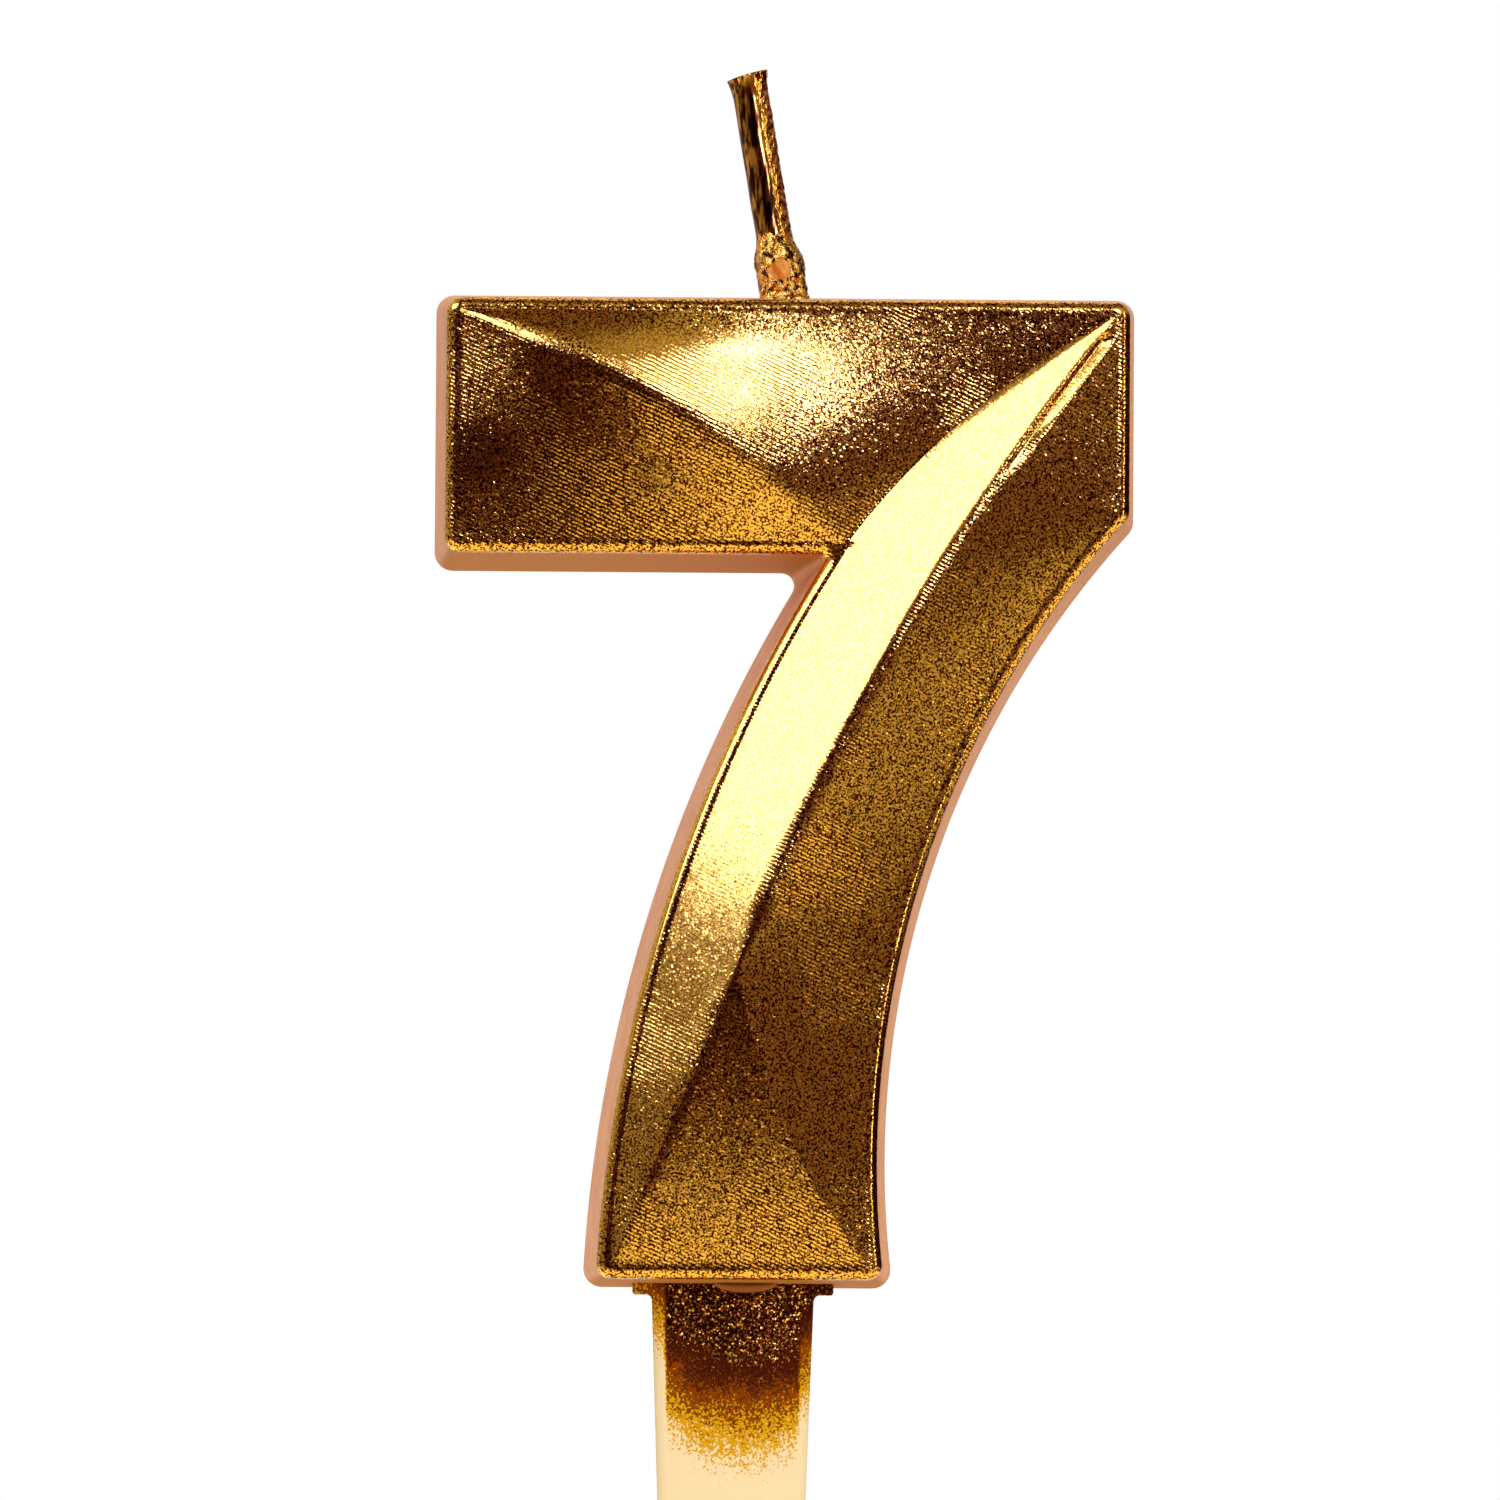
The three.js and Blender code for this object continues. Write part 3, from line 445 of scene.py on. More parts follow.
class MeshDraft:
    """Collects grids and rings of points, and welds them into one Blender mesh."""

    def __init__(self):
        self.points = []
        self.faces = []
        self.count = 0

    def grid(self, rows, closed=False):
        """Faces between the rows of a grid; closed joins each row's last point to its first."""
        rows = np.asarray(rows)
        height, width = rows.shape[:2]
        self.points.append(rows.reshape(-1, 3))
        places = self.count + np.arange(height * width).reshape(height, width)
        if closed:
            places = np.concatenate([places, places[:, :1]], axis=1)
        quads = np.stack([places[:-1, :-1], places[:-1, 1:], places[1:, 1:], places[1:, :-1]],
                         axis=-1)
        self.faces.extend(quads.reshape(-1, 4).tolist())
        self.count += height * width
        return places

    def cap(self, ring):
        """One face over a ring of a closed grid, whose last place is its first again."""
        self.faces.append([int(place) for place in ring[:-1]])

    def tube(self, rings):
        """Faces round a stack of rings, capped at both ends."""
        places = self.grid(rings, closed=True)
        self.cap(places[0])
        self.cap(places[-1])

    def build(self, name, smooth=True):
        mesh = bpy.data.meshes.new(name)
        points = np.concatenate(self.points) * MM
        mesh.from_pydata(points.tolist(), [], self.faces)
        shape = bmesh.new()
        shape.from_mesh(mesh)
        bmesh.ops.remove_doubles(shape, verts=shape.verts, dist=WELD_DISTANCE * MM)
        bmesh.ops.dissolve_degenerate(shape, edges=shape.edges, dist=WELD_DISTANCE * MM / 10)
        bmesh.ops.recalc_face_normals(shape, faces=shape.faces)
        for face in shape.faces:
            face.smooth = smooth
        shape.to_mesh(mesh)
        shape.free()
        piece = bpy.data.objects.new(name, mesh)
        bpy.context.scene.collection.objects.link(piece)
        return piece


def dress(piece, node, material):
    """Gives a piece its material and slot, and its CAD node's place if it stands for one."""
    piece.data.materials.append(material)
    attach(piece, "root")
    if node:
        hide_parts(node)


def make_numeral(material):
    wall_offset = (BACK_FACE_Y - RIM_Y) * DRAFT_SLOPE
    back = ring_of(*outline_at(wall_offset, BACK_FACE_Y, CORNER_RADIUS_BACK, INNER_RADIUS_BACK))
    rim = ring_of(*outline_at(0, RIM_Y, CORNER_RADIUS_RIM, INNER_RADIUS_RIM))
    rings = [back + (rim - back) * share for share in even(WALL_SEGMENTS)]
    for step in range(1, FILLET_SEGMENTS + 1):
        angle = math.pi / 2 * step / FILLET_SEGMENTS
        inset = RIM_FILLET * (1 - math.cos(angle))
        y = RIM_Y - RIM_FILLET * math.sin(angle)
        rings.append(ring_of(*outline_at(-inset, y, CORNER_RADIUS_RIM - inset,
                                         INNER_RADIUS_RIM + inset)))
    arcs, edges = outline_at(-CREASE_INSET, LAND_Y, CORNER_RADIUS_CREASE, INNER_RADIUS_CREASE)
    rings.append(ring_of(arcs, edges))

    draft = MeshDraft()
    places = draft.grid(rings, closed=True)
    draft.cap(places[0])
    for rows in front_facets(arcs, edges):
        draft.grid(rows)
    piece = draft.build("gilded_seven")
    for face in piece.data.polygons:
        face.use_smooth = len(face.vertices) <= 4
    dress(piece, "wax_numeral", material)


def along_wick(station, x, y):
    """A point beside the wick's line: station runs up from the numeral's top, x to the right."""
    lean = math.radians(WICK_LEAN_DEGREES)
    return (WICK_EXIT_X - math.sin(lean) * station + math.cos(lean) * x, WICK_Y + y,
            TOP_Z_AT_WICK + math.cos(lean) * station + math.sin(lean) * x)


def lumps(x, y, station, across, along, start):
    """Smooth noise round the wick's line and along it."""
    return noise.noise(Vector((x * across, y * across, station * along + start)))


def wick_lumps(x, y, station):
    crinkle = max(0.0, x - WICK_CRINKLE_START) * lumps(x, y, station, *WICK_CRINKLE_NOISE)
    return WICK_LUMP * lumps(x, y, station, *WICK_LUMP_NOISE) + WICK_CRINKLE * crinkle


def collar_lumps(x, y, station):
    return (COLLAR_LUMP * lumps(x, y, station, *COLLAR_LUMP_NOISE)
            + COLLAR_GRAIN * lumps(x, y, station, *COLLAR_GRAIN_NOISE))


def wick_ring(station, radius, lumps_at, slope=0.0):
    """A ring round the wick's line that swells by lumps_at's share of the radius and may slope."""
    ring = []
    for side in range(WICK_SIDES):
        angle = 2 * math.pi * side / WICK_SIDES
        x, y = math.cos(angle), math.sin(angle)
        local = radius * (1 + lumps_at(x, y, station))
        ring.append(along_wick(station + slope * x * local, local * x, local * y))
    return ring


def make_wick(material):
    cut = math.tan(math.radians(WICK_CUT_DEGREES - WICK_LEAN_DEGREES))
    start = COLLAR_HEIGHT - WICK_BURIED
    rings = []
    for index in range(WICK_RINGS + 1):
        share = index / WICK_RINGS
        station = start + (WICK_EXPOSED_LENGTH - start) * share
        flare = (station - WICK_EXPOSED_LENGTH + WICK_FLARE_LENGTH) / WICK_FLARE_LENGTH
        flare = min(1.0, max(0.0, flare)) ** 2
        radius = WICK_RADIUS + (WICK_FLARE_RADIUS - WICK_RADIUS) * flare
        slope = cut * max(0.0, share - WICK_LEVEL_SHARE) / (1 - WICK_LEVEL_SHARE)
        rings.append(wick_ring(station, radius, wick_lumps, slope))
    rim = np.array(rings[-1])
    centre = np.mean(rim, axis=0)
    for share in WICK_TOP_RINGS:
        ring = centre + (rim - centre) * share
        for point in ring:
            bump = WICK_TOP_LUMP * noise.noise(Vector(point * WICK_TOP_LUMP_SCALE))
            point[2] += bump - WICK_TOP_HOLLOW * (1 - share)
        rings.append(ring.tolist())
    draft = MeshDraft()
    draft.tube(rings)
    dress(draft.build("wick_tip"), "wick_jacket", material)


def make_collar(material):
    rings = []
    for index in range(COLLAR_RINGS + 1):
        station = -COLLAR_BURIED + (COLLAR_HEIGHT + COLLAR_BURIED) * index / COLLAR_RINGS
        above = (station - COLLAR_SHOULDER_HEIGHT) / (COLLAR_HEIGHT - COLLAR_SHOULDER_HEIGHT)
        above = min(1.0, max(0.0, above))
        narrow = above * above * (3 - 2 * above)
        radius = COLLAR_RADIUS + (WICK_RADIUS - COLLAR_RADIUS) * narrow
        rings.append(wick_ring(station, radius, collar_lumps))
    draft = MeshDraft()
    draft.tube(rings)
    dress(draft.build("wick_nub"), "wick_collar", material)


def blade_half_width(z):
    taper_end = BLADE_POINT_LENGTH - BLADE_LENGTH
    if z >= taper_end:
        share = min(1.0, z / taper_end) if z < 0 else 0.0
        return (BLADE_WIDTH + (BLADE_TIP_WIDTH - BLADE_WIDTH) * share) / 2
    share = (taper_end - z) / BLADE_POINT_LENGTH
    return (BLADE_TIP_WIDTH + (BLADE_POINT_FLAT - BLADE_TIP_WIDTH) * share) / 2


def make_pick(material):
    rings = []
    front = PICK_THICKNESS / 2
    for z in np.linspace(-BLADE_LENGTH, PICK_BURIED, BLADE_ROWS + 1):
        half = blade_half_width(z)
        bevel = min(BLADE_BEVEL_WIDTH, half / 2)
        quarter = []
        for share in even(BEVEL_STEPS):
            bulge = BLADE_BEVEL_BULGE * math.sin(math.pi * share)
            quarter.append((half - bevel * (1 - share) + bulge,
                            -front + BLADE_BEVEL_DEPTH * share - bulge))
        right = quarter + [(x, -y) for x, y in reversed(quarter)]
        left = [(-x, -y) for x, y in right]
        rings.append([(x, y, z) for x, y in right + left])
    draft = MeshDraft()
    draft.tube(rings)
    dress(draft.build("cake_pick"), "pick", material)
    make_ear("pick_ear_left", -1, material)
    make_ear("pick_ear_right", 1, material)


def make_ear(name, side, material):
    """One ear of the pick's shoulder, with a fillet down to the blade."""
    outer = SHOULDER_WIDTH / 2
    top = SHOULDER_HEIGHT + EAR_RISE
    fillet_x = BLADE_WIDTH / 2 + SHOULDER_FILLET
    inner = fillet_x - EAR_REACH_IN
    outline = [(inner, top), (outer, top), (outer, EAR_CHAMFER), (outer - EAR_CHAMFER, 0),
               (fillet_x, 0)]
    for step in range(1, EAR_FILLET_STEPS + 1):
        angle = math.pi / 2 * (1 + step / EAR_FILLET_STEPS)
        outline.append((fillet_x + SHOULDER_FILLET * math.cos(angle),
                        -SHOULDER_FILLET + SHOULDER_FILLET * math.sin(angle)))
    outline.append((inner, -SHOULDER_FILLET))
    front = PICK_THICKNESS / 2 - EAR_SET_BACK
    draft = MeshDraft()
    draft.tube([[(side * x, y, z) for x, z in outline] for y in (-front, front)])
    piece = draft.build(name, smooth=False)
    rounding = piece.modifiers.new("rounding", "BEVEL")
    rounding.width = EAR_ROUNDING * MM
    rounding.segments = 2
    dress(piece, None, material)


def make_bead(material):
    """The lens-shaped bead of sealing wax in front of the blade, under the foot."""
    centre_y = -PICK_THICKNESS / 2 - BEAD_IN_FRONT
    centre_z = SHOULDER_HEIGHT - BEAD_BELOW_SHOULDER
    rings = []
    for share in even(BEAD_RINGS):
        x = BEAD_OFFSET - BEAD_LENGTH / 2 * math.cos(math.pi * share)
        reach = math.sin(math.pi * share)
        rings.append([(x, centre_y + BEAD_HALF_DEPTH * reach * math.cos(angle),
                       centre_z + BEAD_HALF_HEIGHT * reach * math.sin(angle))
                      for angle in np.linspace(0, 2 * math.pi, BEAD_SIDES, endpoint=False)])
    draft = MeshDraft()
    draft.grid(rings, closed=True)
    dress(draft.build("seal_bead"), "pick_seal", material)


class Graph:
    """The node graph of a material or world, written as calls that return sockets."""

    def __init__(self, owner):
        self.owner = owner
        owner.use_nodes = True
        self.tree = owner.node_tree
        self.tree.nodes.clear()

    def add(self, kind, inputs, output=0, **settings):
        node = self.tree.nodes.new("ShaderNode" + kind)
        for key, value in settings.items():
            setattr(node, key, value)
        for key, value in inputs.items():
            if isinstance(value, bpy.types.NodeSocket):
                self.tree.links.new(value, node.inputs[key])
            else:
                node.inputs[key].default_value = value
        return node.outputs[output]

    def place(self, stretch=(1, 1, 1), turn=0):
        """Places on the surface in millimetres, turned about Y, then stretched along each axis."""
        spot = self.add("TexCoord", {}, "Object")
        return self.add("Mapping", {0: spot, 2: (0, math.radians(turn), 0),
                                    3: [value * MM for value in stretch]}, vector_type="TEXTURE")

    def part(self, vector, axis):
        """One coordinate of a vector: 0 for X, 1 for Y and 2 for Z."""
        return self.add("SeparateXYZ", {0: vector}, axis)

    def noise(self, spot, scale, detail, roughness=0.5):
        return self.add("TexNoise", {"Vector": spot, "Scale": scale, "Detail": detail,
                                     "Roughness": roughness}, "Fac")

    def math(self, kind, first, second=0.0):
        return self.add("Math", {0: first, 1: second}, operation=kind)

    def plus(self, total, *others):
        for other in others:
            total = self.math("ADD", total, other)
        return total

    def minus(self, first, second):
        return self.math("SUBTRACT", first, second)

    def times(self, product, *others):
        for other in others:
            product = self.math("MULTIPLY", product, other)
        return product

    def most(self, first, second):
        return self.math("MAXIMUM", first, second)

    def reach(self, across, up):
        """How far a place in a plane is from the plane's origin."""
        squares = [self.math("POWER", part, 2.0) for part in (across, up)]
        return self.math("SQRT", self.plus(*squares))

    def vector(self, kind, first, second=(0, 0, 0)):
        return self.add("VectorMath", {0: first, 1: second}, operation=kind)

    def span(self, value, low, high, to_low=0.0, to_high=1.0):
        """The value's place between two limits, as a smooth step between two others."""
        return self.add("MapRange", {"Value": value, "From Min": low, "From Max": high,
                                     "To Min": to_low, "To Max": to_high},
                        interpolation_type="SMOOTHSTEP")

    def mix(self, share, first, second):
        return self.add("Mix", {0: share, 6: first, 7: second}, 2, data_type="RGBA")

    def blend(self, share, first, second):
        return self.add("Mix", {0: share, 2: first, 3: second}, 0, data_type="FLOAT")

    def bump(self, height, depth, normal=None):
        """The normal of a surface that the height lifts by the depth, a number or a socket."""
        if isinstance(depth, bpy.types.NodeSocket):
            height, depth = self.times(height, depth), 1.0
        inputs = {"Height": height, "Distance": depth * MM, "Strength": 1.0}
        if normal is not None:
            inputs["Normal"] = normal
        return self.add("Bump", inputs)

    def flakes(self, spot, size, tilt, normal):
        """The normal tilted at random from flake to flake: most flakes a little, a few a lot."""
        cells = self.add("TexVoronoi", {"Vector": spot, "Scale": 1 / size}, "Color")
        turn = self.vector("SUBTRACT", cells, (0.5, 0.5, 0.5))
        square = self.vector("MULTIPLY", turn, turn)
        fifth_power = self.vector("MULTIPLY", self.vector("MULTIPLY", square, square), turn)
        lean = self.add("VectorMath", {0: fifth_power, "Scale": tilt}, operation="SCALE")
        return self.vector("NORMALIZE", self.vector("ADD", normal, lean))

    def surface(self, shader, output="OutputMaterial"):
        """Ends the graph at its output, and returns what it belongs to."""
        node = self.tree.nodes.new("ShaderNode" + output)
        self.tree.links.new(shader, node.inputs["Surface"])
        return self.owner

    def principled(self, **inputs):
        return self.surface(self.add("BsdfPrincipled", {key.replace("_", " "): value
                                                        for key, value in inputs.items()}))


def material_graph(name):
    return Graph(bpy.data.materials.new(name))


def linear(red, green, blue):
    """An sRGB colour, 0 to 255, as Blender's linear one."""
    def channel(value):
        value /= 255
        return value / 12.92 if value <= 0.04045 else ((value + 0.055) / 1.055) ** 2.4
    return (channel(red), channel(green), channel(blue), 1)


# In all materials, a noise has its scale per millimetre, its detail and, where it isn't a half,
# its roughness. A pair of edges is where a share starts to rise and where it is full.

# Gilding of the numeral. The foil ends on the walls, along a line that strays. Grain and tool marks
# are weaker on the stem's left facet, and flakes there and on the arm's upper facet. These two
# facets face the softboxes, and on them the dark specks are half covered: a painted highlight. The
# edges of these two are of the normal's parts to the left and upward.
GOLD = linear(255, 183, 56)
DEEP_GOLD = linear(84, 31, 7)
STEM_FACET_LEFTWARD = (0.06, 0.12)
STEM_FACET_UPWARD = (0.04, 0.13)
ARM_FACET_LEFTWARD = (-0.02, -0.06)
ARM_FACET_UPWARD = (0.05, 0.15)
FOIL_EDGES = (RIM_Y + 1.2, RIM_Y + 0.3)
FOIL_STRAY = 1.2
FOIL_STRAY_NOISE = (2.2, 3.0)
FOIL_ROUGHNESS = 0.11
SPECK_NOISE = (6.5, 1.0, 0.6)
SPECK_EDGES = (0.43, 0.53)
# Share of the dark specks covered on the facets that face the softboxes: a painted highlight
SPECKS_COVERED_BY_PAINTED_HIGHLIGHT = 0.5
WAVE_NOISE = (0.35, 1.0)
WAVE_DEPTH = 0.015
MARK_ANGLE = 25
MARK_PITCH = 0.27
MARK_WANDER = 5.0
MARK_WANDER_NOISE = (1.4, 2.0)
MARK_DEPTH = 0.0055
MARKED_NOISE = (0.11, 1.0)
MARKED_EDGES = (0.42, 0.62)
GRAIN_NOISE = (6.0, 1.0, 0.6)
GRAIN_DEPTH = 0.007
GRAIN_KEPT = 0.12
FLAKE_SIZE = 0.1
FLAKE_STRETCH = (1.6, 1, 0.9)
FLAKE_TILT = 3.0
TILT_KEPT = 0.4

# Bare wax of the numeral, whose dust of gold thins out towards the back
PINK_WAX = linear(250, 179, 126)
DUSKY_WAX = linear(238, 165, 112)
GOLD_DUST = linear(214, 136, 40)
# Walls that face down turn a darker tan gold, by their normal alone.
UNDERSIDE_GOLD = linear(204, 126, 42)
UNDERSIDE_EDGES = (-0.5, -0.9)
CLOUD_NOISE = (0.35, 5.0, 0.65)
CLOUD_EDGES = (0.35, 0.7)
CLOUD_DEPTH = 0.15
PIT_NOISE = (3.2, 3.0, 0.7)
PIT_SHARE = 0.12
DUST_EDGES = (0.62, 0.7)
DUST_COVER = 0.7
DUST_THINNING = -0.02


def gilded_wax():
    """Gold foil with the mould's fine grain and slanted tool marks, thinning out over the walls."""
    graph = material_graph("gilded_wax")
    spot = graph.place()
    depth = graph.part(spot, 1)
    facing = graph.add("NewGeometry", {}, "Normal")
    to_left, upward = graph.times(graph.part(facing, 0), -1.0), graph.part(facing, 2)
    stem_facet = graph.times(graph.span(to_left, *STEM_FACET_LEFTWARD),
                             graph.span(upward, *STEM_FACET_UPWARD))
    arm_facet = graph.times(graph.span(to_left, *ARM_FACET_LEFTWARD),
                            graph.span(upward, *ARM_FACET_UPWARD))
    smooth_facet_and_painted_highlight = graph.most(stem_facet, arm_facet)

    stray = graph.times(graph.noise(spot, *FOIL_STRAY_NOISE), FOIL_STRAY)
    foil = graph.span(graph.plus(depth, stray), *FOIL_EDGES)
    specks = graph.span(graph.noise(spot, *SPECK_NOISE), *SPECK_EDGES)
    # On the facets that face the softboxes half the dark specks are covered: a painted highlight.
    gold = graph.mix(graph.most(specks, graph.times(smooth_facet_and_painted_highlight, SPECKS_COVERED_BY_PAINTED_HIGHLIGHT)),
                     DEEP_GOLD, GOLD)

    cloudy = graph.noise(spot, *CLOUD_NOISE)
    pitted = graph.noise(spot, *PIT_NOISE)
    dusty = graph.plus(graph.times(depth, DUST_THINNING), pitted)
    wax = graph.mix(graph.span(cloudy, *CLOUD_EDGES), PINK_WAX, DUSKY_WAX)
    wax = graph.mix(graph.span(dusty, *DUST_EDGES, 0.0, DUST_COVER), wax, GOLD_DUST)
    # Walls that face down are darker, a tan gold, by their normal alone.
    wax = graph.mix(graph.span(upward, *UNDERSIDE_EDGES), wax, UNDERSIDE_GOLD)

    mark_phase = graph.times(graph.part(graph.place((1, 1, MARK_PITCH), MARK_ANGLE), 2), math.tau)
    wander = graph.times(graph.noise(spot, *MARK_WANDER_NOISE), MARK_WANDER)
    marks = graph.math("SINE", graph.plus(mark_phase, wander))
    marked = graph.span(graph.noise(spot, *MARKED_NOISE), *MARKED_EDGES)
    kept = graph.blend(stem_facet, 1.0, GRAIN_KEPT)
    normal = graph.bump(graph.noise(spot, *WAVE_NOISE), WAVE_DEPTH)
    normal = graph.bump(graph.times(marks, marked, kept), MARK_DEPTH, normal)
    normal = graph.bump(graph.times(graph.noise(spot, *GRAIN_NOISE), kept), GRAIN_DEPTH, normal)
    tilt = graph.times(graph.blend(smooth_facet_and_painted_highlight, 1.0, TILT_KEPT), FLAKE_TILT)
    normal = graph.flakes(graph.place(FLAKE_STRETCH, MARK_ANGLE), FLAKE_SIZE, tilt, normal)
    lumpy = graph.plus(cloudy, graph.times(pitted, PIT_SHARE))
    normal = graph.bump(graph.times(lumpy, graph.minus(1.0, foil)), CLOUD_DEPTH, normal)
    return graph.principled(
        Base_Color=graph.mix(foil, wax, gold),
        Metallic=foil,
        Roughness=graph.blend(foil, 0.7, FOIL_ROUGHNESS),
        Specular_IOR_Level=0.2,
        Normal=normal,
    )


# Gilding of the wick and its nub, and the chip in the nub that shows its wax
WICK_GOLD = linear(244, 166, 52)
WICK_BROWN = linear(60, 22, 5)
STREAK_STRETCH = (0.4, 0.4, 2.2)
STREAK_NOISE = (1.0, 3.0, 0.6)
STREAK_EDGES = (0.42, 0.62)
CREASE_STRETCH = (0.4, 0.4, 0.8)
CREASE_NOISE = (1.0, 2.0, 0.5)
CREASE_DEPTH = 0.16
# Edges of the wick's right side, by its normal: it has creases, and is all gold as a painted
# highlight.
CREASED_SIDE_AND_PAINTED_HIGHLIGHT_EDGES = (0.15, 0.5)
WICK_GRAIN_NOISE = (5.0, 2.0)
WICK_GRAIN_DEPTH = 0.01
NUB_NOISE = (2.0, 3.0, 0.65)
NUB_GOLD_EDGES = (0.4, 0.52)
NUB_DEPTH = 0.3
NUB_FLAKE_SIZE = 0.3
NUB_FLAKE_TILT = 30.0
PEACH_WAX = linear(236, 160, 84)
RUSTY_WAX = linear(196, 104, 34)
CHIP_X = 2.75
CHIP_Z = 71.8
CHIP_EDGES = (1.45, 1.3)
CHIP_FRONT_EDGES = (WICK_Y, WICK_Y - 0.5)
CHIP_STRAY = 1.2
CHIP_STRAY_NOISE = (0.9, 2.0)
CHIP_DEPTH = 0.1
FIBRE_STRETCH = (0.3, 0.3, 1.5)
FIBRE_ANGLE = -20
FIBRE_NOISE = (1.0, 2.0)
FIBRE_EDGES = (0.35, 0.65)


def gilded_wick():
    """Dark, glossy gilding on the dipped wick, streaked along it and with creases on its right,
    where it is all gold: a painted highlight.
    """
    graph = material_graph("gilded_wick")
    streaks = graph.noise(graph.place(STREAK_STRETCH), *STREAK_NOISE)
    creases = graph.noise(graph.place(CREASE_STRETCH), *CREASE_NOISE)
    grain = graph.noise(graph.place(), *WICK_GRAIN_NOISE)
    rightward = graph.part(graph.add("NewGeometry", {}, "Normal"), 0)
    creased_side_and_painted_highlight = graph.span(rightward, *CREASED_SIDE_AND_PAINTED_HIGHLIGHT_EDGES)
    normal = graph.bump(streaks, WICK_GRAIN_DEPTH)
    normal = graph.bump(graph.times(creases, creased_side_and_painted_highlight), CREASE_DEPTH, normal)
    normal = graph.bump(graph.times(grain, creased_side_and_painted_highlight), WICK_GRAIN_DEPTH, normal)
    # The right side is all gold: a painted highlight, beside its real creases and streaks.
    streaks_and_painted_highlight = graph.blend(creased_side_and_painted_highlight, graph.span(streaks, *STREAK_EDGES), 1.0)
    return graph.principled(
        Base_Color=graph.mix(streaks_and_painted_highlight, WICK_BROWN, WICK_GOLD),
        Metallic=1.0,
        Roughness=0.1,
        Normal=normal,
    )


def gilded_nub():
    """Granular gilding round the wick's foot, chipped so that the wax shows."""
    graph = material_graph("gilded_nub")
    spot = graph.place()
    grain = graph.noise(spot, *NUB_NOISE)
    from_chip = graph.reach(graph.minus(graph.part(spot, 0), CHIP_X),
                            graph.minus(graph.part(spot, 2), CHIP_Z))
    stray = graph.times(graph.noise(spot, *CHIP_STRAY_NOISE), CHIP_STRAY)
    chip = graph.times(graph.span(graph.plus(from_chip, stray), *CHIP_EDGES),
                       graph.span(graph.part(spot, 1), *CHIP_FRONT_EDGES))
    normal = graph.bump(grain, graph.blend(chip, NUB_DEPTH, CHIP_DEPTH))
    normal = graph.flakes(spot, NUB_FLAKE_SIZE, graph.blend(chip, NUB_FLAKE_TILT, 0.0), normal)
    fibres = graph.noise(graph.place(FIBRE_STRETCH, FIBRE_ANGLE), *FIBRE_NOISE)
    wax = graph.mix(graph.span(fibres, *FIBRE_EDGES), RUSTY_WAX, PEACH_WAX)
    gold = graph.mix(graph.span(grain, *NUB_GOLD_EDGES), WICK_BROWN, GOLD)
    return graph.principled(
        Base_Color=graph.mix(chip, gold, wax),
        Metallic=graph.blend(chip, 1.0, 0.0),
        Specular_IOR_Level=0.0,
        Roughness=graph.blend(chip, 0.2, 0.6),
        Normal=normal,
    )


# Plastic of the pick and the stain on it, which ends in bands of lighter colours further down.
# Along both edges the blade is barer: there the bands are that much higher.
CREAM = linear(246, 218, 166)
YELLOW_STAIN = linear(222, 158, 14)
ORANGE_STAIN = linear(138, 62, 6)
BROWN_STAIN = linear(68, 20, 6)
STAIN_SPECK = linear(96, 50, 14)
GILT_END = -4.4
BROWN_END = -6.8
ORANGE_END = -8.8
SPECKS_END = -10
STAIN_END = -11.2
STAIN_GRAIN = 8
STAIN_BLUR = 0.5
STAIN_STRAY = 2.4
STAIN_STRAY_NOISE = (0.5, 3.0)
STAIN_ARCH_X = 0.8
STAIN_ARCH = 0.07
BARE_EDGE = 1.0
BARE_EDGE_BLUR = 0.15
LEFT_EDGE_RISE = 5.5
RIGHT_EDGE_RISE = 2.4
PICK_GRAIN_NOISE = (4.6, 2.0, 0.7)
PICK_GRAIN_DEPTH = 0.02
PICK_FINE_NOISE = (6.0, 1.0, 0.6)
PICK_GOLD_EDGES = (0.5, 0.7)
PICK_SPECK_ANGLE = 40
PICK_SPECK_NOISE = (5.0, 2.0, 0.7)
PICK_SPECK_EDGES = (0.55, 0.62)
PICK_FLAKE_SIZE = 0.15
PICK_FLAKE_TILT = 18.0


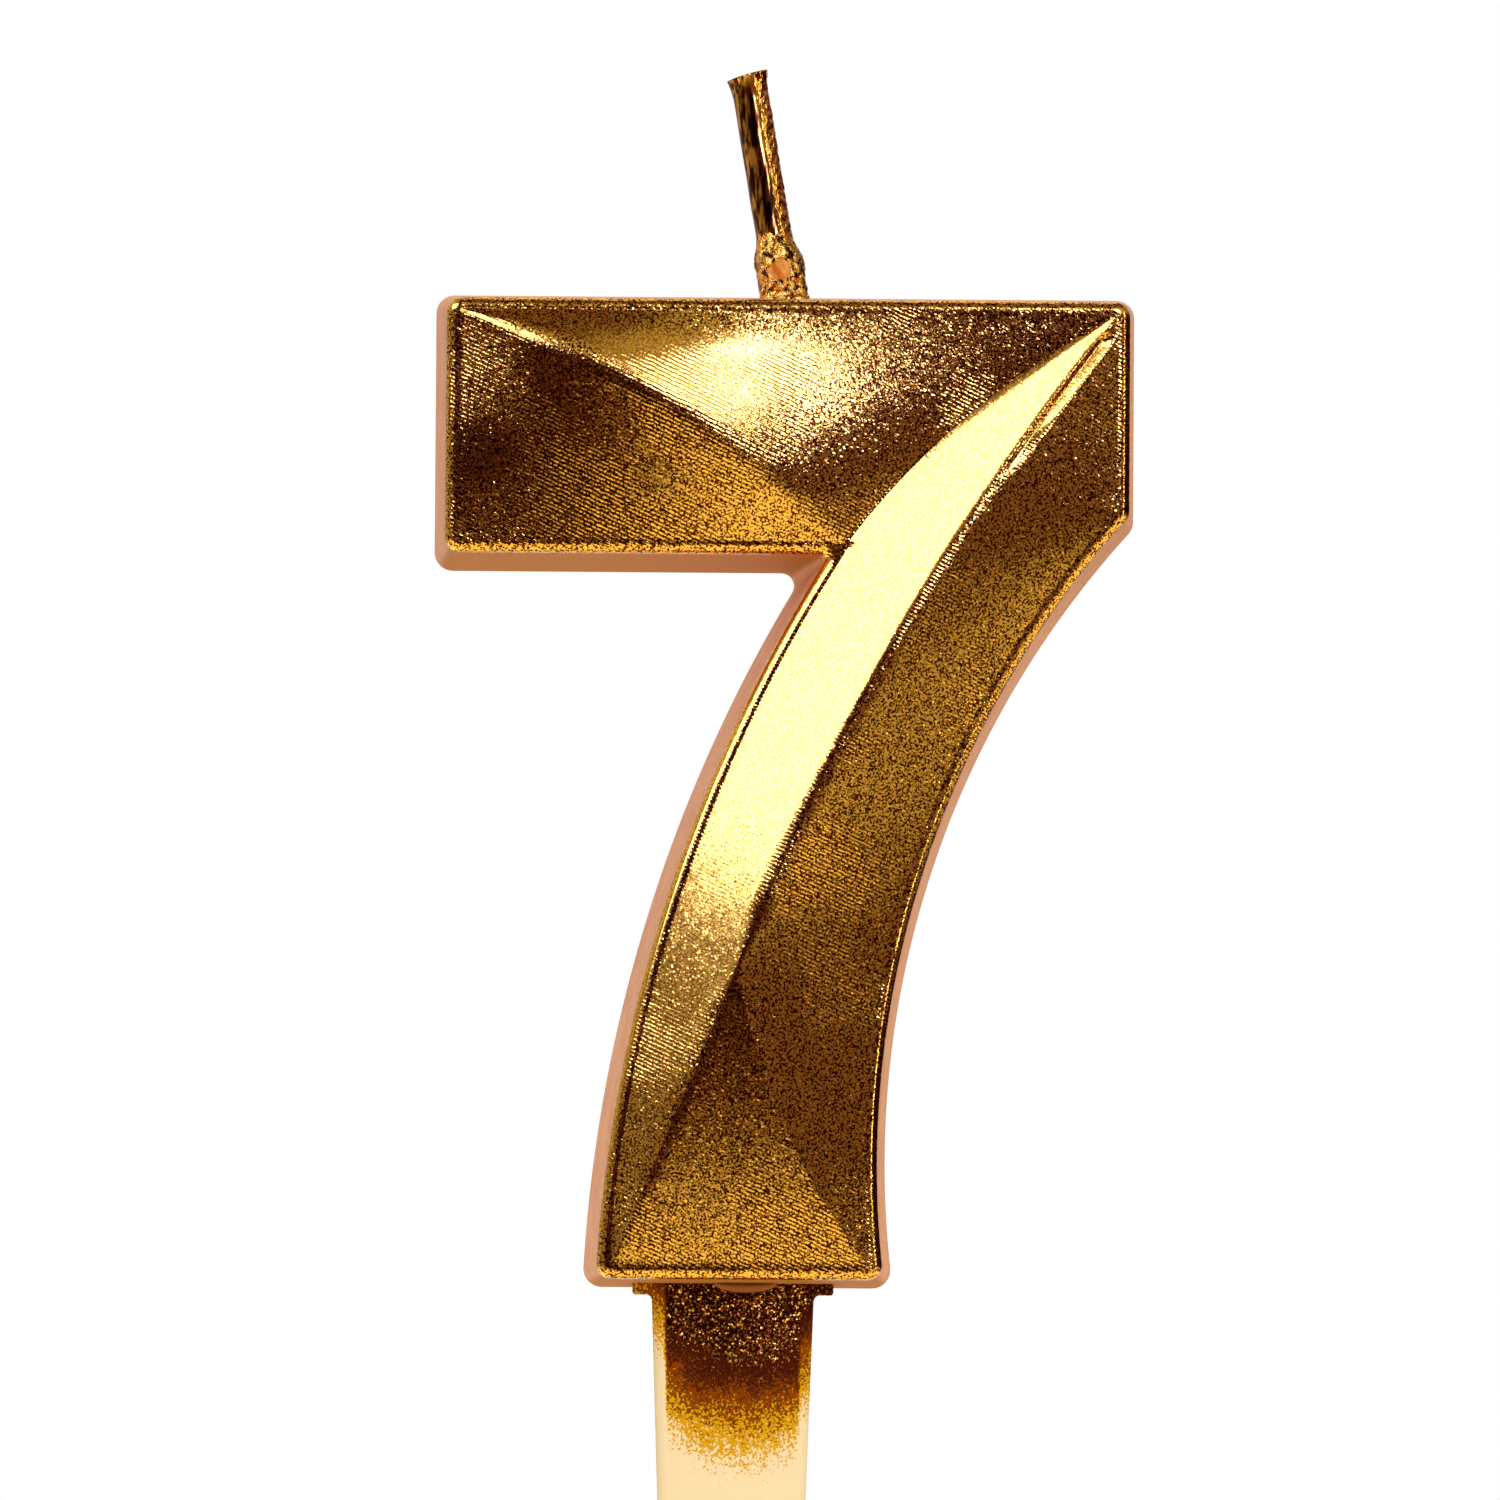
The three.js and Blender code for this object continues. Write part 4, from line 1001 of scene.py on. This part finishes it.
def pick_plastic():
    """Cream plastic, gilded under the shoulder; the gilding breaks up into specks further down."""
    graph = material_graph("pick_plastic")
    spot = graph.place()
    across = graph.part(spot, 0)
    outer = BLADE_WIDTH / 2 - BARE_EDGE + BARE_EDGE_BLUR
    inner = BLADE_WIDTH / 2 - BARE_EDGE - BARE_EDGE_BLUR
    bare = graph.plus(graph.span(across, -outer, -inner, LEFT_EDGE_RISE, 0.0),
                      graph.span(across, inner, outer, 0.0, RIGHT_EDGE_RISE))
    level = graph.minus(graph.part(spot, 2), bare)
    level = graph.plus(level, graph.times(graph.noise(spot, *STAIN_STRAY_NOISE), STAIN_STRAY))
    arch = graph.times(graph.math("POWER", graph.minus(across, STAIN_ARCH_X), 2.0), STAIN_ARCH)
    level = graph.minus(graph.minus(level, STAIN_STRAY / 2), arch)
    grain = graph.noise(spot, *PICK_GRAIN_NOISE)
    fine = graph.noise(spot, *PICK_FINE_NOISE)
    dots = graph.noise(graph.place(turn=PICK_SPECK_ANGLE), *PICK_SPECK_NOISE)

    def ends_at(end, ragged):
        mottled = graph.plus(level, graph.times(ragged, STAIN_GRAIN))
        middle = end + STAIN_GRAIN / 2
        return graph.span(mottled, middle - STAIN_BLUR, middle + STAIN_BLUR)

    gilt = ends_at(GILT_END, grain)
    specks = graph.times(ends_at(SPECKS_END, dots), graph.span(grain, *PICK_SPECK_EDGES))
    stain = graph.mix(ends_at(ORANGE_END, fine), YELLOW_STAIN, ORANGE_STAIN)
    stain = graph.mix(ends_at(BROWN_END, grain), stain, BROWN_STAIN)
    stain = graph.mix(specks, stain, STAIN_SPECK)
    plastic = graph.mix(ends_at(STAIN_END, fine), CREAM, stain)
    gold = graph.mix(graph.span(fine, *PICK_GOLD_EDGES), DEEP_GOLD, GOLD)
    normal = graph.flakes(spot, PICK_FLAKE_SIZE, graph.times(gilt, PICK_FLAKE_TILT),
                          graph.bump(grain, PICK_GRAIN_DEPTH))
    return graph.principled(
        Base_Color=graph.mix(gilt, plastic, gold),
        Metallic=gilt,
        Roughness=graph.blend(gilt, 0.5, 0.14),
        Specular_IOR_Level=0.0,
        Normal=normal,
    )


def sealing_wax():
    graph = material_graph("sealing_wax")
    return graph.principled(
        Base_Color=linear(128, 68, 16),
        Metallic=0.9,
        Roughness=0.3,
        Normal=graph.bump(graph.noise(graph.place(), 2.0, 2.0), 0.03),
    )


def cotton():
    graph = material_graph("cotton")
    twist = graph.noise(graph.place((0.16, 0.16, 0.5)), 1.0, 3.0)
    return graph.principled(
        Base_Color=graph.mix(twist, linear(226, 218, 196), linear(245, 240, 226)),
        Roughness=0.95,
        Normal=graph.bump(twist, 0.1),
    )


# The camera: where it stands and looks, solved from the outline's perspective
CAMERA_SPOT = (-10.85, -611.9, 19.38)
CAMERA_TARGET = (0.85, -5.9, 38.04)
CAMERA_ROLL_DEGREES = 0.3816
CAMERA_FIELD = 104.4
SENSOR = 36


def make_camera():
    spot, target = Vector(CAMERA_SPOT) * MM, Vector(CAMERA_TARGET) * MM
    forward = (target - spot).normalized()
    right = forward.cross(Vector((0, 0, 1))).normalized()
    up = right.cross(forward)
    roll = math.radians(CAMERA_ROLL_DEGREES)
    right, up = (right * math.cos(roll) + up * math.sin(roll),
                 up * math.cos(roll) - right * math.sin(roll))
    data = bpy.data.cameras.new("camera")
    data.sensor_width = SENSOR
    data.lens = SENSOR * (target - spot).length / (CAMERA_FIELD * MM)
    camera = bpy.data.objects.new("camera", data)
    turn = Matrix((right, up, -forward)).transposed()
    camera.matrix_world = Matrix.Translation(spot) @ turn.to_4x4()
    bpy.context.scene.collection.objects.link(camera)
    bpy.context.scene.camera = camera


# The studio, with its lengths in metres. Directions are as the candle sees them: azimuth to the
# reader's right and elevation up.
STUDIO_CENTRE = Vector((0.003, 0, 0.035))
AMBIENT = 0.8
FLOOR_RADII = (0.0001, 0.2, 0.6, 1.2, 3.0)
FLOOR_SIDES = 96
FLOOR_GREY = 0.82
FLOOR_GLOW_NEAR = 0.3
LIT_FLOOR_RADIUS = 0.15
FLOOR_FADE_RADIUS = 0.42
ROOM_RADIUS = 1.6
ROOM_REACH = 160
ROOM_TOP = 89.9
ROOM_SIDES = 120
ROOM_ROWS = 60

# Light of the room. Each band has the angle where it starts, the angle where it ends, and the
# light at each.
FRONT_BANDS = ((-38, -20, 0.26, 0.05), (0, 14, 0.0, 0.12))
RIGHT_DIMMING = (55, 75, 1.0, 0.15)
LEFT_BAND = (-100, -65, 0.25, 0.0)
RISING_BANDS = ((5, 34, 0.0, 0.36), (46, 56, 0.0, -0.26), (-28.5, -13.5, 1.1, 0.0),
                (-18, -4, 0.22, 0.0))
GLOW_AZIMUTH = 35
GLOW_ELEVATION = -12.5
GLOW_NARROWING = 0.8
GLOW_BAND = (0, 7, 0.3, 0.0)
DIM_TINT = (1.0, 0.25, 0.5, 1)
LIT_TINT = (1.0, 0.97, 1.15, 1)
LIT_LEVEL = 0.35


def direction(azimuth, elevation):
    """A step of one metre towards a direction of the studio."""
    azimuth, elevation = math.radians(azimuth), math.radians(elevation)
    return Vector((math.sin(azimuth) * math.cos(elevation),
                   -math.cos(azimuth) * math.cos(elevation), math.sin(elevation)))


def softbox(name, azimuth, elevation, width, height, radiance, colour=(1, 1, 1), *,
            distance=1.0, lean=0, glossy=True):
    """A rectangular softbox that faces the candle; width and height are the angles it fills.

    A softbox that leans has its top turned to the reader's left. A glossy one is only seen by
    glossy rays, and any other only by diffuse ones.
    """
    data = bpy.data.lights.new(name, "AREA")
    data.shape = "RECTANGLE"
    data.size = 2 * distance * math.tan(math.radians(width / 2))
    data.size_y = 2 * distance * math.tan(math.radians(height / 2))
    data.energy = radiance * math.pi * data.size * data.size_y
    data.color = colour
    lamp = bpy.data.objects.new(name, data)
    towards = direction(azimuth, elevation)
    leaning = Quaternion((0, 0, 1), math.radians(lean))
    lamp.location = STUDIO_CENTRE + towards * distance
    lamp.rotation_euler = (towards.to_track_quat("Z", "Y") @ leaning).to_euler()
    lamp.visible_camera = False
    lamp.visible_glossy = glossy
    lamp.visible_diffuse = not glossy
    bpy.context.scene.collection.objects.link(lamp)


def make_floor():
    """A pale floor that takes the candle's shadow. Far from the candle it glows white."""
    draft = MeshDraft()
    angles = np.linspace(0, 2 * math.pi, FLOOR_SIDES, endpoint=False)
    draft.grid([[(radius / MM * math.cos(angle), radius / MM * math.sin(angle), FLOOR_Z)
                 for angle in angles] for radius in FLOOR_RADII], closed=True)
    floor = draft.build("floor", smooth=False)
    if floor.data.polygons[0].normal.z < 0:
        floor.data.flip_normals()
    graph = material_graph("floor")
    spot = graph.add("TexCoord", {}, "Object")
    reach = graph.add("VectorMath", {0: spot}, "Value", operation="LENGTH")
    far = graph.span(reach, LIT_FLOOR_RADIUS, FLOOR_FADE_RADIUS)
    seen = graph.add("LightPath", {}, "Is Camera Ray")
    grey = graph.mix(far, (FLOOR_GREY, FLOOR_GREY, FLOOR_GREY, 1), (0, 0, 0, 1))
    glow = graph.times(seen, graph.blend(far, FLOOR_GLOW_NEAR, 1.0))
    graph.surface(graph.add("AddShader", {
        0: graph.add("BsdfDiffuse", {"Color": grey}),
        1: graph.add("Emission", {"Color": (1, 1, 1, 1), "Strength": glow}),
    }))
    floor.data.materials.append(graph.owner)
    floor.visible_glossy = False


def make_room():
    """The dim studio in front of the candle, which only metal sees: its floor is lit close by."""
    draft = MeshDraft()
    azimuths = np.linspace(-ROOM_REACH, ROOM_REACH, ROOM_SIDES + 1)
    elevations = np.linspace(-ROOM_TOP, ROOM_TOP, ROOM_ROWS + 1)
    draft.grid([[tuple(direction(azimuth, elevation) * ROOM_RADIUS / MM) for azimuth in azimuths]
                for elevation in elevations])
    room = draft.build("room", smooth=False)
    graph = material_graph("room")
    towards = graph.vector("NORMALIZE", graph.add("TexCoord", {}, "Object"))
    forward = graph.times(graph.part(towards, 1), -1.0)
    azimuth = graph.math("ARCTAN2", graph.part(towards, 0), forward)
    azimuth = graph.times(azimuth, math.degrees(1))
    elevation = graph.times(graph.math("ARCSINE", graph.part(towards, 2)), math.degrees(1))
    from_glow = graph.reach(graph.times(graph.minus(azimuth, GLOW_AZIMUTH), GLOW_NARROWING),
                            graph.minus(elevation, GLOW_ELEVATION))
    light = graph.plus(*(graph.span(azimuth, *band) for band in FRONT_BANDS))
    light = graph.times(light, graph.span(azimuth, *RIGHT_DIMMING))
    light = graph.plus(light, graph.span(azimuth, *LEFT_BAND),
                       *(graph.span(elevation, *band) for band in RISING_BANDS),
                       graph.span(from_glow, *GLOW_BAND))
    tint = graph.mix(graph.span(light, 0.0, LIT_LEVEL), DIM_TINT, LIT_TINT)
    graph.surface(graph.add("Emission", {"Color": tint, "Strength": light}))
    room.data.materials.append(graph.owner)
    room.visible_camera = False
    room.visible_diffuse = False
    room.visible_shadow = False


def make_world():
    """Plain light from all round, and white for the rays that see the world itself."""
    world = bpy.data.worlds.new("studio")
    bpy.context.scene.world = world
    graph = Graph(world)
    camera, glossy, transmission = (
        graph.add("LightPath", {}, name)
        for name in ("Is Camera Ray", "Is Glossy Ray", "Is Transmission Ray"))
    seen = graph.most(graph.most(camera, glossy), transmission)
    strength = graph.blend(seen, AMBIENT, 1.0)
    background = graph.add("Background", {"Color": (1, 1, 1, 1), "Strength": strength})
    graph.surface(background, "OutputWorld")


def make_studio():
    make_world()
    make_floor()
    make_room()
    softbox("key_softbox", -39.5, 28.8, 45, 30, 18.0, (0.2, 0.26, 0.98))
    softbox("right_softbox", 13.5, 22.5, 11.5, 27, 30.0, (0.19, 0.24, 1.0), lean=13)
    softbox("right_strip", 52, 5, 9, 40, 6.0, (0.55, 0.62, 1.0))
    softbox("front_fill", 10, 8, 60, 50, 2.1, distance=1.2, glossy=False)


def dress_candle():
    make_numeral(gilded_wax())
    make_wick(gilded_wick())
    make_collar(gilded_nub())
    make_pick(pick_plastic())
    make_bead(sealing_wax())
    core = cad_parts["wick_core"]
    core.data.materials.clear()
    core.data.materials.append(cotton())


bpy.context.scene.view_settings.view_transform = "Standard"
make_camera()
make_studio()
dress_candle()
